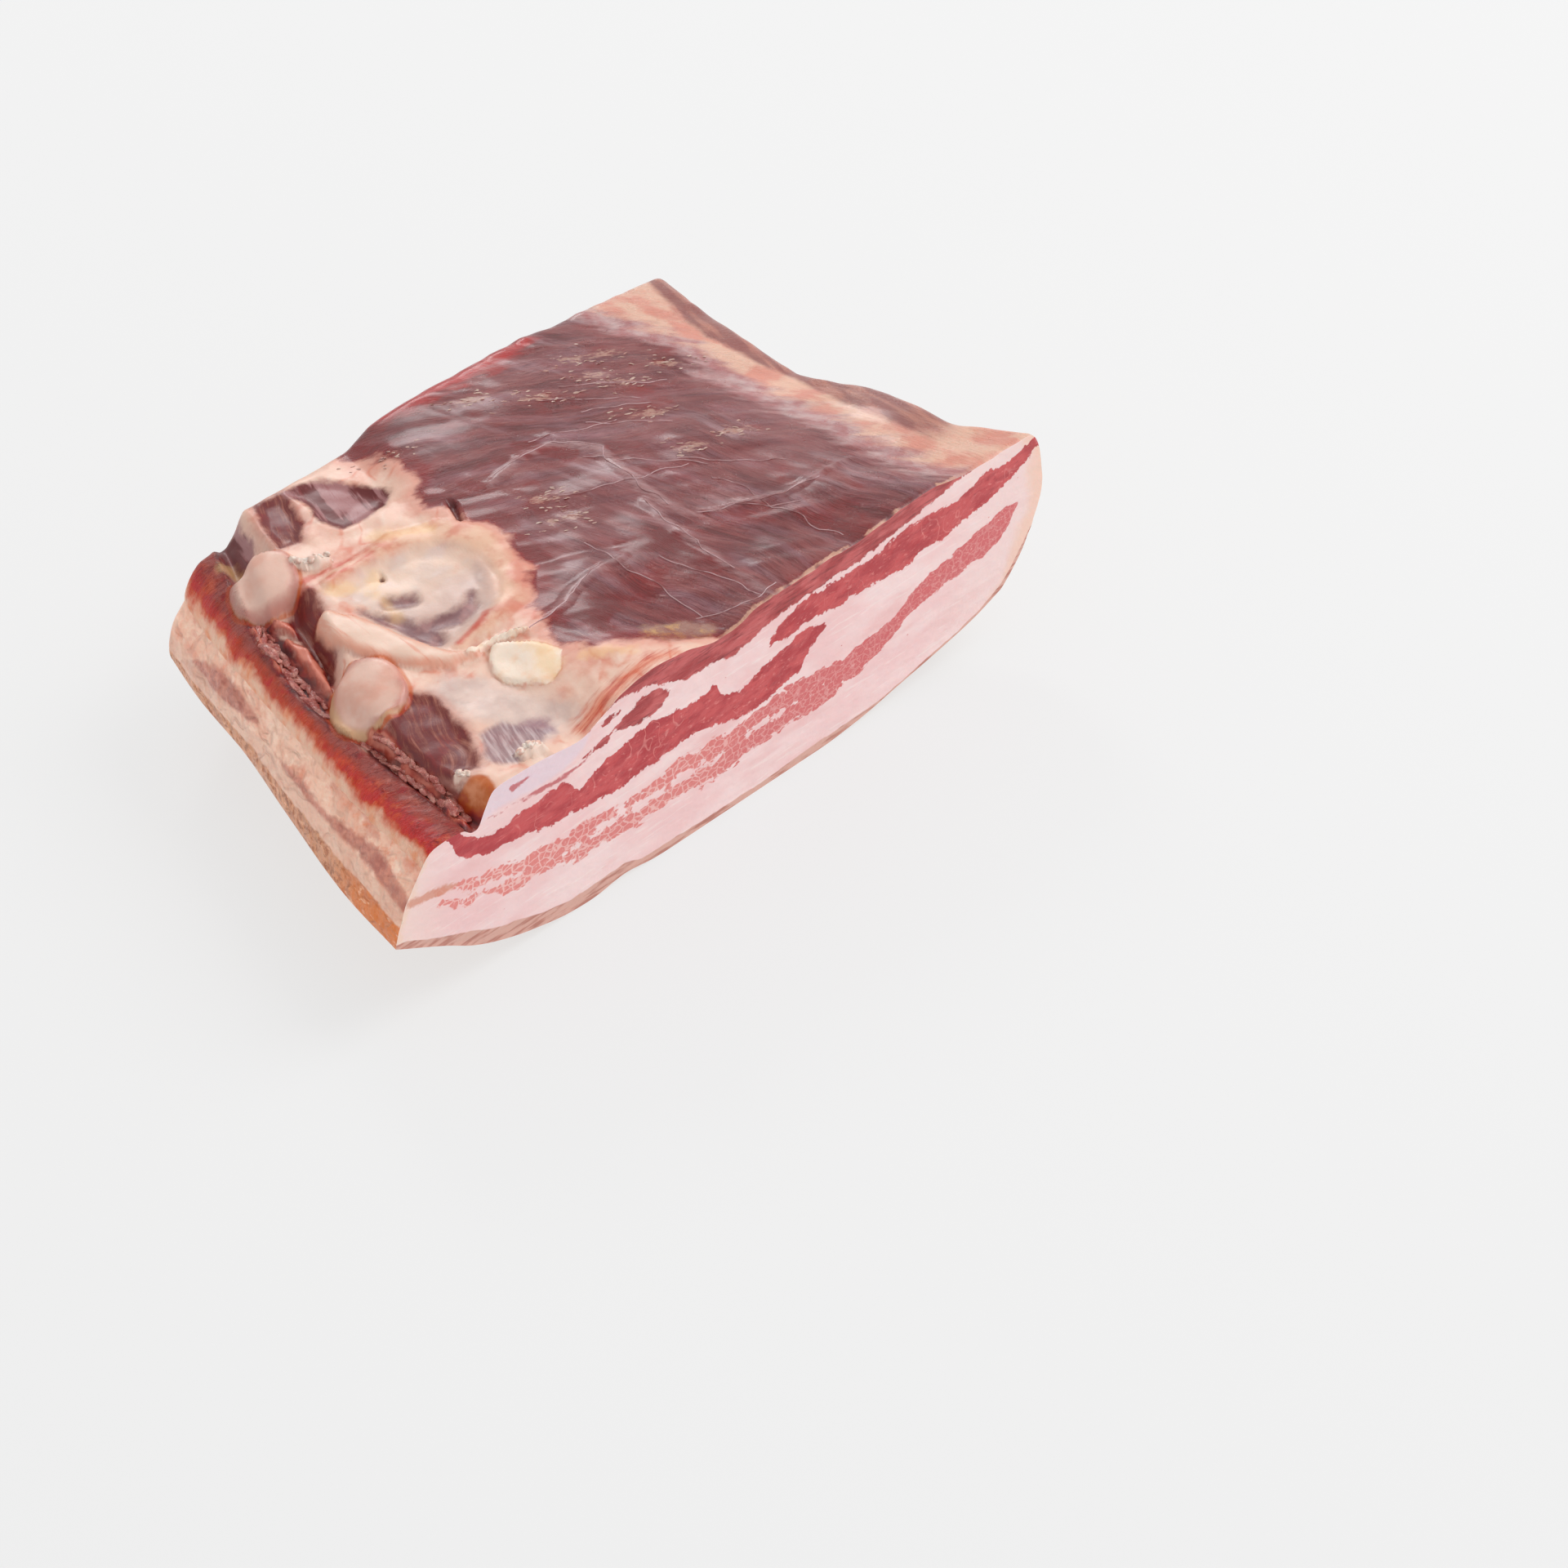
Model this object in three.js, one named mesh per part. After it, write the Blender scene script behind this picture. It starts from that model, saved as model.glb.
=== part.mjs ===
// A slab of cured pork belly bacon, lying rind down with the rib side up.
// The front is a fresh flat cut across the layers of fat and lean. The other three sides are cured
// outsides, and the left one is a low ledge of red meat with the cut rib cartilages standing behind it.
// The slab is one closed solid: six grids that share their edges, like the skin of a soft box.
// Millimetres, +X along the front cut, +Y from the front cut to the back, +Z up.
import * as THREE from "three";

// Driving sizes
const WIDTH = 134; // from the front cut to the back
const TOP_RIGHT_X = 236; // the front cut's top right corner, from the rind's left tip
const RIND_RIGHT_X = 224; // where the rind turns up into the right end
const LEFT_TIP_HEIGHT = 25.5; // the rind's left edge is lifted off the table
const RIND_RIGHT_HEIGHT = 14.5;
const RIGHT_BULGE = 9;
const LEFT_BULGE = 2;
const LEDGE_DROP = 6; // the red ledge lies this far below the rib side
const LEDGE_SLOPE = 6; // width of the step from the ledge up to the ribs
const EDGE_ROUND = 3.5; // soft edges along the left, right and back
const CUT_ROUND = 0.5; // the fresh cut's crisp edges

// Grid of the six faces
const STEPS_X = 54;
const STEPS_Y = 28;
const STEPS_Z = 8;
const LEDGE_COLUMNS = [0, 7, 11, STEPS_X]; // left edge, foot and top of the step, right edge

// Outlines seen from above: x of each long edge, by distance from the front cut
const rindLeftX = through([[0, 0], [22, 4], [60, 15], [86, 23], [110, 28.5], [WIDTH, 36]]);
const topLeftX = through([[0, 10.5], [38, 17.5], [60, 23], [90, 29.5], [105, 33.5], [WIDTH, 43]]);
const topRightX = through([
  [0, TOP_RIGHT_X], [10, 230], [22, 225], [52, 225.5], [75, 219.5], [104, 219.5], [WIDTH, 223],
]);
const topRightHeight = through([[0, 63], [32, 61], [75, 56.5], [100, 58.5], [WIDTH, 60.5]]);
const ledgeX = through([[0, 28.5], [22, 27], [46, 31], [70, 40], [100, 51], [WIDTH, 60]]);

// Profiles seen from the front: height by the share of the way from left to right
const rindHeight = through([
  [0, LEFT_TIP_HEIGHT], [0.07, 16.5], [0.113, 10.4], [0.156, 6.2], [0.2, 3.2], [0.26, 0.6], [0.31, 0],
  [0.67, 0], [0.74, 1.2], [0.81, 4], [0.9, 7.8], [0.95, 10.4], [1, RIND_RIGHT_HEIGHT],
]);
const frontTopHeight = through([
  [0, 55.8], [0.08, 54.9], [0.12, 56.1], [0.23, 55.5], [0.3, 61.4], [0.35, 63.2], [0.4, 61.5],
  [0.46, 58.5], [0.53, 61.6], [0.66, 62.1], [0.78, 65.3], [0.89, 62.5], [1, 63],
]);
const middleTopHeight = through([
  [0, 54.5], [0.1, 57], [0.2, 57.5], [0.32, 60.2], [0.45, 61.6], [0.6, 62.6], [0.75, 61.8], [0.9, 59], [1, 58.5],
]);
const backTopHeight = through([
  [0, 51.5], [0.06, 56.6], [0.16, 58], [0.32, 59], [0.38, 63.2], [0.53, 65], [0.63, 65],
  [0.76, 63.2], [0.87, 62], [1, 60.5],
]);
const MIDDLE = 0.4; // the middle profile's share of the way from the front cut to the back

// Relief of the rib side: rounded bumps (+) and hollows (-), by centre and by radius along and across
const RELIEF = [
  { x: 50.5, y: 106, along: 11, across: 10, turn: 0, height: 5.5 }, // upper rib's cut cartilage
  { x: 37, y: 50, along: 12, across: 10.5, turn: 10, height: 6.5 }, // lower rib's cut cartilage
  { x: 56, y: 72, along: 17, across: 8, turn: -75, height: 3.6 }, // sinew behind the lower rib, upper end
  { x: 63, y: 51, along: 16, across: 7.5, turn: -50, height: 2.8 }, // the same sinew, lower end
  { x: 77, y: 33.5, along: 12, across: 9, turn: -25, height: 2 }, // firm white fat
  { x: 52, y: 5, along: 6, across: 5, turn: 0, height: 2.2 }, // small lump of fat on the front edge
  { x: 75, y: 66, along: 17, across: 11, turn: -45, height: -2.4 }, // hollow between the ribs
  { x: 38, y: 26, along: 19, across: 9, turn: 70, height: -3.6 }, // hollow in front of the lower rib
  { x: 90, y: 116, along: 14, across: 9, turn: 15, height: -1.6 }, // hollow behind the upper rib
  { x: 112, y: 121, along: 17, across: 10, turn: 0, height: 1.6 }, // pad of fat at the back
  { x: 42, y: 80, along: 15, across: 6, turn: 65, height: -2.8 }, // trough between the two cartilages
];

// A smooth curve through (input, value) points that never overshoots them.
function through(points) {
  const slopes = points.slice(1).map(([x, y], i) => (y - points[i][1]) / (x - points[i][0]));
  const tangents = points.map((_, i) => {
    const before = slopes[i - 1] ?? slopes[i];
    const after = slopes[i] ?? before;
    return before * after > 0 ? (2 * before * after) / (before + after) : 0;
  });
  return (x) => {
    const last = points.length - 2;
    let i = 0;
    while (i < last && x > points[i + 1][0]) i += 1;
    const [x0, y0] = points[i];
    const [x1, y1] = points[i + 1];
    const span = x1 - x0;
    const t = THREE.MathUtils.clamp((x - x0) / span, 0, 1);
    const [a, b] = [tangents[i] * span, tangents[i + 1] * span];
    return y0 + t * (a + t * (3 * (y1 - y0) - 2 * a - b + t * (a + b - 2 * (y1 - y0))));
  };
}

// How far a surface has sunk at a distance from an edge rounded to a radius.
function roll(distance, radius) {
  const d = THREE.MathUtils.clamp(radius - distance, 0, radius);
  return radius - Math.sqrt(radius * radius - d * d);
}

function reliefHeight(form, x, y) {
  const angle = THREE.MathUtils.degToRad(form.turn);
  const [dx, dy] = [x - form.x, y - form.y];
  const along = (dx * Math.cos(angle) + dy * Math.sin(angle)) / form.along;
  const across = (dy * Math.cos(angle) - dx * Math.sin(angle)) / form.across;
  return form.height * THREE.MathUtils.smoothstep(1 - Math.hypot(along, across), 0, 0.8);
}

// Height of the rib side at a share u of the length and a distance y from the front cut.
function topHeight(u, x, y) {
  const back = y / WIDTH;
  const toMiddle = THREE.MathUtils.smoothstep(back, 0, MIDDLE);
  const toBack = THREE.MathUtils.smoothstep(back, MIDDLE, 1);
  const profile = (share) => {
    const nearer = THREE.MathUtils.lerp(frontTopHeight(share), middleTopHeight(share), toMiddle);
    return THREE.MathUtils.lerp(nearer, backTopHeight(share), toBack);
  };
  const ridge = (topRightHeight(y) - profile(1)) * THREE.MathUtils.smoothstep(u, 0.75, 1);
  const step = THREE.MathUtils.smoothstep(x - ledgeX(y), 0, LEDGE_SLOPE);
  const relief = RELIEF.reduce((sum, form) => sum + reliefHeight(form, x, y), 0);
  return profile(u) + ridge - LEDGE_DROP * (1 - step) + relief;
}

// The x of a column of the top grid: some columns follow the foot and the top of the ledge's step.
function topX(column, y) {
  const foot = ledgeX(y);
  const stations = [topLeftX(y), foot, foot + LEDGE_SLOPE, topRightX(y)];
  const part = column < LEDGE_COLUMNS[1] ? 0 : column < LEDGE_COLUMNS[2] ? 1 : 2;
  const share = (column - LEDGE_COLUMNS[part]) / (LEDGE_COLUMNS[part + 1] - LEDGE_COLUMNS[part]);
  return THREE.MathUtils.lerp(stations[part], stations[part + 1], share);
}

// The skin's four long faces, each by u or w from 0 to 1 and the distance y. They return [x, z].
function topPoint(u, y) {
  const [left, right] = [topLeftX(y), topRightX(y)];
  const x = topX(u * STEPS_X, y);
  const sunk = roll(x - left, EDGE_ROUND) + roll(right - x, EDGE_ROUND);
  const height = topHeight((x - left) / (right - left), x, y);
  return [x, height - sunk - roll(WIDTH - y, EDGE_ROUND) - roll(y, CUT_ROUND)];
}

function rindPoint(u, y) {
  const right = RIND_RIGHT_X + topRightX(y) - TOP_RIGHT_X;
  const x = THREE.MathUtils.lerp(rindLeftX(y), right, u);
  return [x, rindHeight(u)];
}

function endPoint(w, y, u, bulge) {
  const [x0, z0] = rindPoint(u, y);
  const [x1, z1] = topPoint(u, y);
  const outward = bulge * Math.pow(Math.sin(Math.PI * w), 0.8);
  return [THREE.MathUtils.lerp(x0, x1, w) + outward, THREE.MathUtils.lerp(z0, z1, w)];
}

// Any point of the section at a distance y: a patch stretched between the section's four edges.
function sectionPoint(u, w, y) {
  const [bottom, top] = [rindPoint(u, y), topPoint(u, y)];
  const [left, right] = [endPoint(w, y, 0, -LEFT_BULGE), endPoint(w, y, 1, RIGHT_BULGE)];
  const corners = [rindPoint(0, y), rindPoint(1, y), topPoint(0, y), topPoint(1, y)];
  return [0, 1].map((axis) => {
    const edges = (1 - w) * bottom[axis] + w * top[axis] + (1 - u) * left[axis] + u * right[axis];
    const [c00, c10, c01, c11] = corners.map((corner) => corner[axis]);
    return edges - (1 - u) * (1 - w) * c00 - u * (1 - w) * c10 - (1 - u) * w * c01 - u * w * c11;
  });
}

// Rows along the slab: one more row just inside the back edge turns its corner softly.
function rowY(j) {
  const lastRow = WIDTH - EDGE_ROUND * 0.35;
  return j === STEPS_Y ? WIDTH : (lastRow * j) / (STEPS_Y - 1);
}

// The closed skin, standing on the table over the origin. Points on a shared edge are made once.
function skinGeometry() {
  const positions = [];
  const indexOf = new Map();
  const vertex = (i, k, j) => {
    const key = `${i},${k},${j}`;
    if (!indexOf.has(key)) {
      const y = rowY(j);
      const [u, w] = [i / STEPS_X, k / STEPS_Z];
      const [x, z] = sectionPoint(u, w, y);
      const inset = roll(WIDTH - y, EDGE_ROUND) * 0.5;
      const rightwards = THREE.MathUtils.lerp(1, -1, u);
      positions.push(x + inset * rightwards, y, z);
      indexOf.set(key, positions.length / 3 - 1);
    }
    return indexOf.get(key);
  };
  const triangles = [];
  const face = (stepsA, stepsB, corner) => {
    for (let a = 0; a < stepsA; a += 1) {
      for (let b = 0; b < stepsB; b += 1) {
        const [p, q, r, s] = [corner(a, b), corner(a + 1, b), corner(a + 1, b + 1), corner(a, b + 1)];
        triangles.push(p, q, r, p, r, s);
      }
    }
  };
  face(STEPS_X, STEPS_Z, (a, b) => vertex(a, b, 0)); // fresh front cut
  face(STEPS_Z, STEPS_X, (a, b) => vertex(b, a, STEPS_Y)); // back
  face(STEPS_X, STEPS_Y, (a, b) => vertex(a, STEPS_Z, b)); // rib side
  face(STEPS_Y, STEPS_X, (a, b) => vertex(b, 0, a)); // rind
  face(STEPS_Z, STEPS_Y, (a, b) => vertex(0, a, b)); // left end
  face(STEPS_Y, STEPS_Z, (a, b) => vertex(STEPS_X, b, a)); // right end
  const geometry = new THREE.BufferGeometry();
  geometry.setAttribute("position", new THREE.Float32BufferAttribute(positions, 3));
  geometry.setIndex(triangles);
  geometry.computeBoundingBox();
  const { min, max } = geometry.boundingBox;
  geometry.translate(-(min.x + max.x) / 2, -(min.y + max.y) / 2, -min.z);
  geometry.computeVertexNormals();
  return geometry;
}

const curedBelly = new THREE.MeshStandardMaterial({ color: 0xc98b86, roughness: 0.45, metalness: 0 });
const slab = new THREE.Mesh(skinGeometry(), curedBelly);
slab.name = "bacon_slab";

const baconSlab = new THREE.Group();
baconSlab.add(slab);

export default baconSlab;
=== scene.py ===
# %% [markdown]
# # A slab of cured pork belly
# The real thing is one piece of meat: rind below, layers of fat and lean above it, and on top the side
# that lay against the ribs. One side was cut fresh with a knife, the others dried while it cured.
# The solid of the slab comes from the frame. Here it gets a finer skin of the same form, four finishes,
# and the small loose bits that lie on it: shreds, dried flecks, silverskin threads and crumbs of fat.

# %% Load the frame
import math

import bpy
import numpy as np
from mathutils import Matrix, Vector


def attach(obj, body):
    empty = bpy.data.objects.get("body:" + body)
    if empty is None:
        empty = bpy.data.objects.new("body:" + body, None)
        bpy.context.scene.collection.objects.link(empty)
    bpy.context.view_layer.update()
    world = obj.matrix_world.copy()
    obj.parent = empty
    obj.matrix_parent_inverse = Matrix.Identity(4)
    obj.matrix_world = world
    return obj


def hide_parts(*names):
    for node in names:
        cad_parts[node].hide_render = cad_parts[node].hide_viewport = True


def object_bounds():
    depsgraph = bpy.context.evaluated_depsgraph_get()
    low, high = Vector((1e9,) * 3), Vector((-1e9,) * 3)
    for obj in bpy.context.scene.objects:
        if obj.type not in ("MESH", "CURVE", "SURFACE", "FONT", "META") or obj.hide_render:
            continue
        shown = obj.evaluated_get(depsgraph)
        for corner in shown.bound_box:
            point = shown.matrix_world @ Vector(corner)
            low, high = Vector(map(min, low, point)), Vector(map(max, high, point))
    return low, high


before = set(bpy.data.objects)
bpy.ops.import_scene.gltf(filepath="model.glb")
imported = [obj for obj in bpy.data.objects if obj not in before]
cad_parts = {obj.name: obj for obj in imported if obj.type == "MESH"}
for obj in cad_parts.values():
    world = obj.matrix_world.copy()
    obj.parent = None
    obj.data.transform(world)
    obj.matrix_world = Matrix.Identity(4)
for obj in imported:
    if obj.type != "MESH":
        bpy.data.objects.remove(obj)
CAD_LOW, CAD_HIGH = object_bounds()
MM_IN_A_METRE = 1000
SIZE = np.array(CAD_HIGH - CAD_LOW) * MM_IN_A_METRE
print("frame nodes:", sorted(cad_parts), "size in mm:", SIZE.round(1))

# %% [markdown]
# ## Camera
# The view is from about 40 degrees above the table, towards the slab's near left corner. A long lens
# keeps the far edges almost parallel to the near ones. The camera's places are in millimetres from the
# left end of the fresh cut, at table height, as every measure below is.

# %% Place the camera
LENS, SENSOR = 85, 36
CAMERA_SPOT = (-414.5, -532.4, 639.1)
CAMERA_AIM = (131.7, -4.8, 1.8)


def in_frame(point):
    """A point in mm from the left end of the cut, as a point of the frame in metres."""
    return CAD_LOW + Vector(point) / MM_IN_A_METRE


camera = bpy.data.objects.new("camera", bpy.data.cameras.new("camera"))
camera.data.lens = LENS
camera.data.sensor_width = SENSOR
camera.location = in_frame(CAMERA_SPOT)
camera.rotation_euler = (in_frame(CAMERA_AIM) - camera.location).to_track_quat("-Z", "Y").to_euler()
bpy.context.scene.collection.objects.link(camera)
bpy.context.scene.camera = camera
print("camera stands", round((in_frame(CAMERA_AIM) - camera.location).length, 3), "m from its aim")

# %% [markdown]
# ## Smooth curves
# Most outlines of the slab are gentle curves through a few measured points. A plain spline swings past
# its points and would add dents that the meat doesn't have. This one keeps its slope at zero wherever
# the points turn, so it never leaves their range. The solid in the frame was made with the same rule.


# %% A curve through measured points
def curve(*points):
    """A smooth function through (place, value) points that never swings past them."""
    places, values = np.array(points, float).T
    slopes = np.diff(values) / np.diff(places)
    before, after = np.append(slopes[:1], slopes), np.append(slopes, slopes[-1:])
    same_way = before * after > 0
    tangents = np.where(same_way, 2 * before * after / np.where(same_way, before + after, 1), 0)

    def value_at(place):
        place = np.clip(np.asarray(place, float), places[0], places[-1])
        i = np.clip(np.searchsorted(places, place, "right") - 1, 0, len(slopes) - 1)
        span = places[i + 1] - places[i]
        t = (place - places[i]) / span
        rise = values[i + 1] - values[i]
        start, end = tangents[i] * span, tangents[i + 1] * span
        return values[i] + t * (start + t * (3 * rise - 2 * start - end + t * (start + end - 2 * rise)))

    return value_at


def between(a, b, share):
    return a + (b - a) * share


def smooth_step(value, low, high):
    t = np.clip((value - low) / (high - low), 0, 1)
    return t * t * (3 - 2 * t)


print("halfway a curve from 0 to 1:", curve((0, 0), (2, 1))(1.0))


# %% [markdown]
# ## Soft unevenness
# Meat is never even. A smooth random field gives its lumps: random numbers on a grid, blended between
# the grid's corners. The seed is fixed, so every run gives the same slab, and each axis has a size of
# its own, so that the lumps can be drawn out into creases and fibres.


# %% A smooth random field
def lumps(x, y, z, size, seed, turn=0):
    """Values from about -1 to 1 that vary over size mm along each axis, turned in plan by degrees."""
    a = math.radians(turn)
    along, across = x * math.cos(a) + y * math.sin(a), y * math.cos(a) - x * math.sin(a)
    spots = np.stack([along, across, z + 0 * x], axis=-1)
    table = np.random.default_rng(seed).uniform(-1, 1, 4096)
    grid = spots / np.array(size, float)
    cell = np.floor(grid).astype(int)
    part = grid - cell
    part = part * part * (3 - 2 * part)
    total = np.zeros(grid.shape[:-1])
    for corner in np.ndindex(2, 2, 2):
        weight = np.prod(np.where(corner, part, 1 - part), axis=-1)
        total += weight * table[((cell + corner) @ (73, 1259, 283)) % len(table)]
    return total


print("lumps at three places:", lumps(np.arange(3.0), 0, 0, (2, 2, 2), 5).round(2))


# %% [markdown]
# ## The slab's outlines
# The slab has the make of a box: rind, rib side, fresh cut, back and two ends. Its section at any
# distance y from the cut is a patch stretched between four edge curves, so these few outlines, seen from
# above and from the front, give every face. The sizes are those of the solid in the frame, in mm.

# %% Outlines from above and profiles from the front
WIDTH = 134.0
TOP_RIGHT_X, RIND_RIGHT_X = 236, 224
LEFT_TIP_HEIGHT, RIND_RIGHT_HEIGHT = 25.5, 14.5
LEDGE_DROP, LEDGE_SLOPE = 6, 6
LEFT_BULGE, RIGHT_BULGE = 2, 9
LEFT_ROUND, EDGE_ROUND, CUT_ROUND = 5.5, 3.5, 0.5
MIDDLE = 0.4

rind_left_x = curve((0, 0), (22, 4), (60, 15), (86, 23), (110, 28.5), (WIDTH, 36))
top_left_x = curve((0, 10.5), (38, 17.5), (60, 23), (90, 29.5), (105, 33.5), (WIDTH, 43))
top_right_x = curve(
    (0, TOP_RIGHT_X), (10, 230), (22, 225), (52, 225.5), (75, 219.5), (104, 219.5), (WIDTH, 223)
)
ridge_height = curve((0, 63), (32, 61), (75, 56.5), (100, 58.5), (WIDTH, 60.5))
ledge_x = curve((0, 28.5), (22, 27), (46, 31), (70, 40), (100, 51), (WIDTH, 60))
rind_height = curve(
    (0, LEFT_TIP_HEIGHT), (0.07, 16.5), (0.113, 10.4), (0.156, 6.2), (0.2, 3.2), (0.26, 0.6), (0.31, 0),
    (0.67, 0), (0.74, 1.2), (0.81, 4), (0.9, 7.8), (0.95, 10.4), (1, RIND_RIGHT_HEIGHT),
)
front_top = curve(
    (0, 55.8), (0.08, 54.9), (0.12, 56.1), (0.23, 55.5), (0.3, 61.4), (0.35, 63.2), (0.4, 61.5),
    (0.46, 58.5), (0.53, 61.6), (0.66, 62.1), (0.78, 65.3), (0.89, 62.5), (1, 63),
)
middle_top = curve(
    (0, 54.5), (0.1, 57), (0.2, 57.5), (0.32, 60.2), (0.45, 61.6), (0.6, 62.6), (0.75, 61.8), (0.9, 59),
    (1, 58.5),
)
back_top = curve(
    (0, 51.5), (0.06, 56.6), (0.16, 58), (0.32, 59), (0.38, 63.2), (0.53, 65), (0.63, 65), (0.76, 63.2),
    (0.87, 62), (1, 60.5),
)
print("the cut's rib side runs from", top_left_x(0), "to", top_right_x(0), "mm")

# %% [markdown]
# ## Zones of the rib side
# Two cut rib cartilages stand behind a low ledge of red meat. Around them lie sinew, a ring of fat round
# a pool of clear tissue, and thin windows where the muscle shows. Each zone is measured in plan, either
# as a band of given half width along some points, or as an outline. From both comes a depth: millimetres
# inside the zone, negative outside. It raises or sinks the surface here and places the colour later.


# %% Depth inside a band or an outline
FAR = -60.0


def to_segment(x, y, start, end):
    """Share along a segment and distance from it."""
    run_x, run_y = end[0] - start[0], end[1] - start[1]
    share = np.clip(((x - start[0]) * run_x + (y - start[1]) * run_y) / (run_x**2 + run_y**2), 0, 1)
    return share, np.hypot(x - start[0] - share * run_x, y - start[1] - share * run_y)


def band(x, y, *stations):
    """Depth inside a band through (x, y, half width) stations, in mm."""
    depth = np.full(np.shape(x), FAR)
    for start, end in zip(stations, stations[1:]):
        share, gap = to_segment(x, y, start, end)
        depth = np.maximum(depth, between(start[2], end[2], share) - gap)
    return depth


def outline(x, y, *corners):
    """Depth inside a closed outline through (x, y) corners, in mm."""
    inside, gap = np.zeros(np.shape(x), bool), np.full(np.shape(x), -FAR)
    for start, end in zip(corners, corners[1:] + corners[:1]):
        gap = np.minimum(gap, to_segment(x, y, start, end)[1])
        if start[1] != end[1]:
            crossing = start[0] + (y - start[1]) * (end[0] - start[0]) / (end[1] - start[1])
            inside ^= ((start[1] > y) != (end[1] > y)) & (x < crossing)
    return np.where(inside, gap, -gap)


print("depth in the middle of a square of 2 mm:", outline(1.0, 1.0, (0, 0), (2, 0), (2, 2), (0, 2)))


# %% Edges of the ledge, the bed and the far ridge
groove_x = curve(
    (0, 25), (26, 26.5), (50, 28.5), (67, 30.5), (78, 33), (90, 36), (102, 41), (111, 45), (123, 50.5),
    (WIDTH, 55),
)
BED = (
    (113, -9), (113, 0), (106, 5), (95, 11), (85, 17), (81, 24), (82, 32), (90, 39), (88, 43), (93, 48),
    (99, 56), (103, 70), (102, 85), (97, 97), (103, 104), (105, 112), (101, 122), (97, 144), (-9, 144),
    (-9, -9),
)
peach_edge_x = curve(
    (0, 209), (10, 203.5), (20, 204), (30, 204), (45, 207), (60, 207), (72, 204), (87, 203.5), (100, 204),
    (115, 199.5), (WIDTH, 193),
)
ridge_x = curve(
    (0, 222), (13, 213), (27, 213), (42, 213), (58, 214), (71, 214.4), (81, 212.5), (92, 211), (106, 210),
    (WIDTH, 217),
)
print("the bed of fat is", BED[1][0] - groove_x(0), "mm wide at the cut")

# %% Cartilage, sinew and the ring round the pool
KNOBS = [[(49, 104, 8.8), (51, 108, 9)], [(37.2, 49, 9.8), (39, 53, 9.6)]]
KNOB_MIDDLE_X = curve((60, 38), (90, 50))
SINEW = [[
    (49.6, 80, 3.2), (50, 74, 5.2), (51.2, 66, 6), (53, 58, 5.4), (56, 50, 4.4), (60, 44.5, 3),
    (66, 41, 1.4),
]]
RING = [[
    (60, 91, 2.5), (71, 91.5, 3.4), (83, 90.5, 4.6), (92, 86, 5), (96.5, 77, 5), (98, 68, 4.4),
    (94.5, 56, 4.6), (88, 49.5, 4), (77, 46.5, 2.6), (66, 46, 2.2),
]]
POOL = (
    (57, 86), (70, 89), (84, 85.5), (91, 79), (92.5, 68), (88, 58), (80.5, 50.5), (70.8, 48.8), (61.9, 48.6),
    (58.6, 55), (57.3, 70),
)
MURKY = [
    [(58, 77, 1.2), (60.5, 70, 2.4), (62.5, 62, 3.2), (64, 54, 3.4)], [(66, 74, 3), (71, 70, 2.2)],
    [(66, 60, 3), (73, 56, 3.4), (78, 57, 3), (82, 60, 1.6)],
]
print("knobs of cartilage:", len(KNOBS))

# %% Flakes, windows and other patches of the bed
IVORY = (
    (71.2, 40.3), (67, 37.4), (64.4, 33), (64, 28.4), (65.8, 23.5), (70.2, 18.4), (75, 18.7), (79.8, 23),
    (78.6, 28), (77.3, 31.5), (73.8, 37),
)
IVORY_TIPS = [
    [(72, 41, 0.9), (67.7, 41.8, 1.3), (64.2, 42.2, 0.4)],
    [(72.2, 41, 0.9), (75.9, 38.6, 1.3), (80.5, 35, 0.3)],
]
YELLOW = [
    [(74.5, 22.5, 3.5), (77, 28, 2.6), (75, 33, 1.4)], [(70.5, 85.6, 1.8), (66, 79.8, 1.4)],
    [(58.5, 88, 2.4), (63, 86, 1.4)], [(81, 96, 2.6), (91, 88.5, 2.2)], [(66, 76.5, 0.9), (62.8, 67.5, 0.8)],
    [(82, 17, 1.6), (90, 9.5, 1.2)], [(52, 124, 2), (52, 119.5, 1.2)],
]
WINDOWS = [
    ((43.1, 42.2), (47.7, 37.6), (46.8, 30), (45.1, 22.7), (42, 15), (38, 8.6), (31.4, 11), (30.2, 20),
     (30, 28), (31.6, 35.6), (37, 41)),
    ((52, 97.1), (54.8, 90.8), (52, 82.3), (46.5, 79), (43.5, 69.5), (37, 64.5), (40, 75), (43.6, 83.9),
     (44.4, 90.5)),
    ((69, 131.5), (78, 131), (72.2, 115.5), (66.5, 110.9), (60.5, 112), (63, 122)),
]
STRIPED = [
    ((77.5, 131), (88, 128), (92.9, 118), (97.2, 108.2), (91.8, 105), (77.5, 105.3), (75.5, 112),
     (77.5, 121)),
    ((46, 114), (51, 124), (56, 133), (63, 133), (60, 122), (55, 115), (50, 111)),
]
VEIL = ((46, 17.7), (53.5, 17.6), (60.5, 7.5), (51.4, 3.4), (45.2, 2.7), (40.1, 7.8))
CLEAR_FAT = (
    (48.5, 40), (57, 40.5), (62, 32), (66, 18), (70, 11), (68, 5.5), (62, 4.5), (55, 6), (51.5, 17.8),
    (47.5, 26),
)
STAINS = [[(56.7, 12.6, 2.2), (60.5, 10.5, 2.6), (61, 7, 1.2)], [(47, 65, 1.8), (48.6, 62.6, 1.4)]]
SPECKLED = (
    (100.1, 14.4), (105.5, 15.1), (112.1, 12.1), (115.1, 5.3), (112.8, 1.2), (97.9, 0.8), (94.5, 3.9),
    (95.3, 9.5),
)
print("windows of muscle:", len(WINDOWS) + 1)

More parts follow.
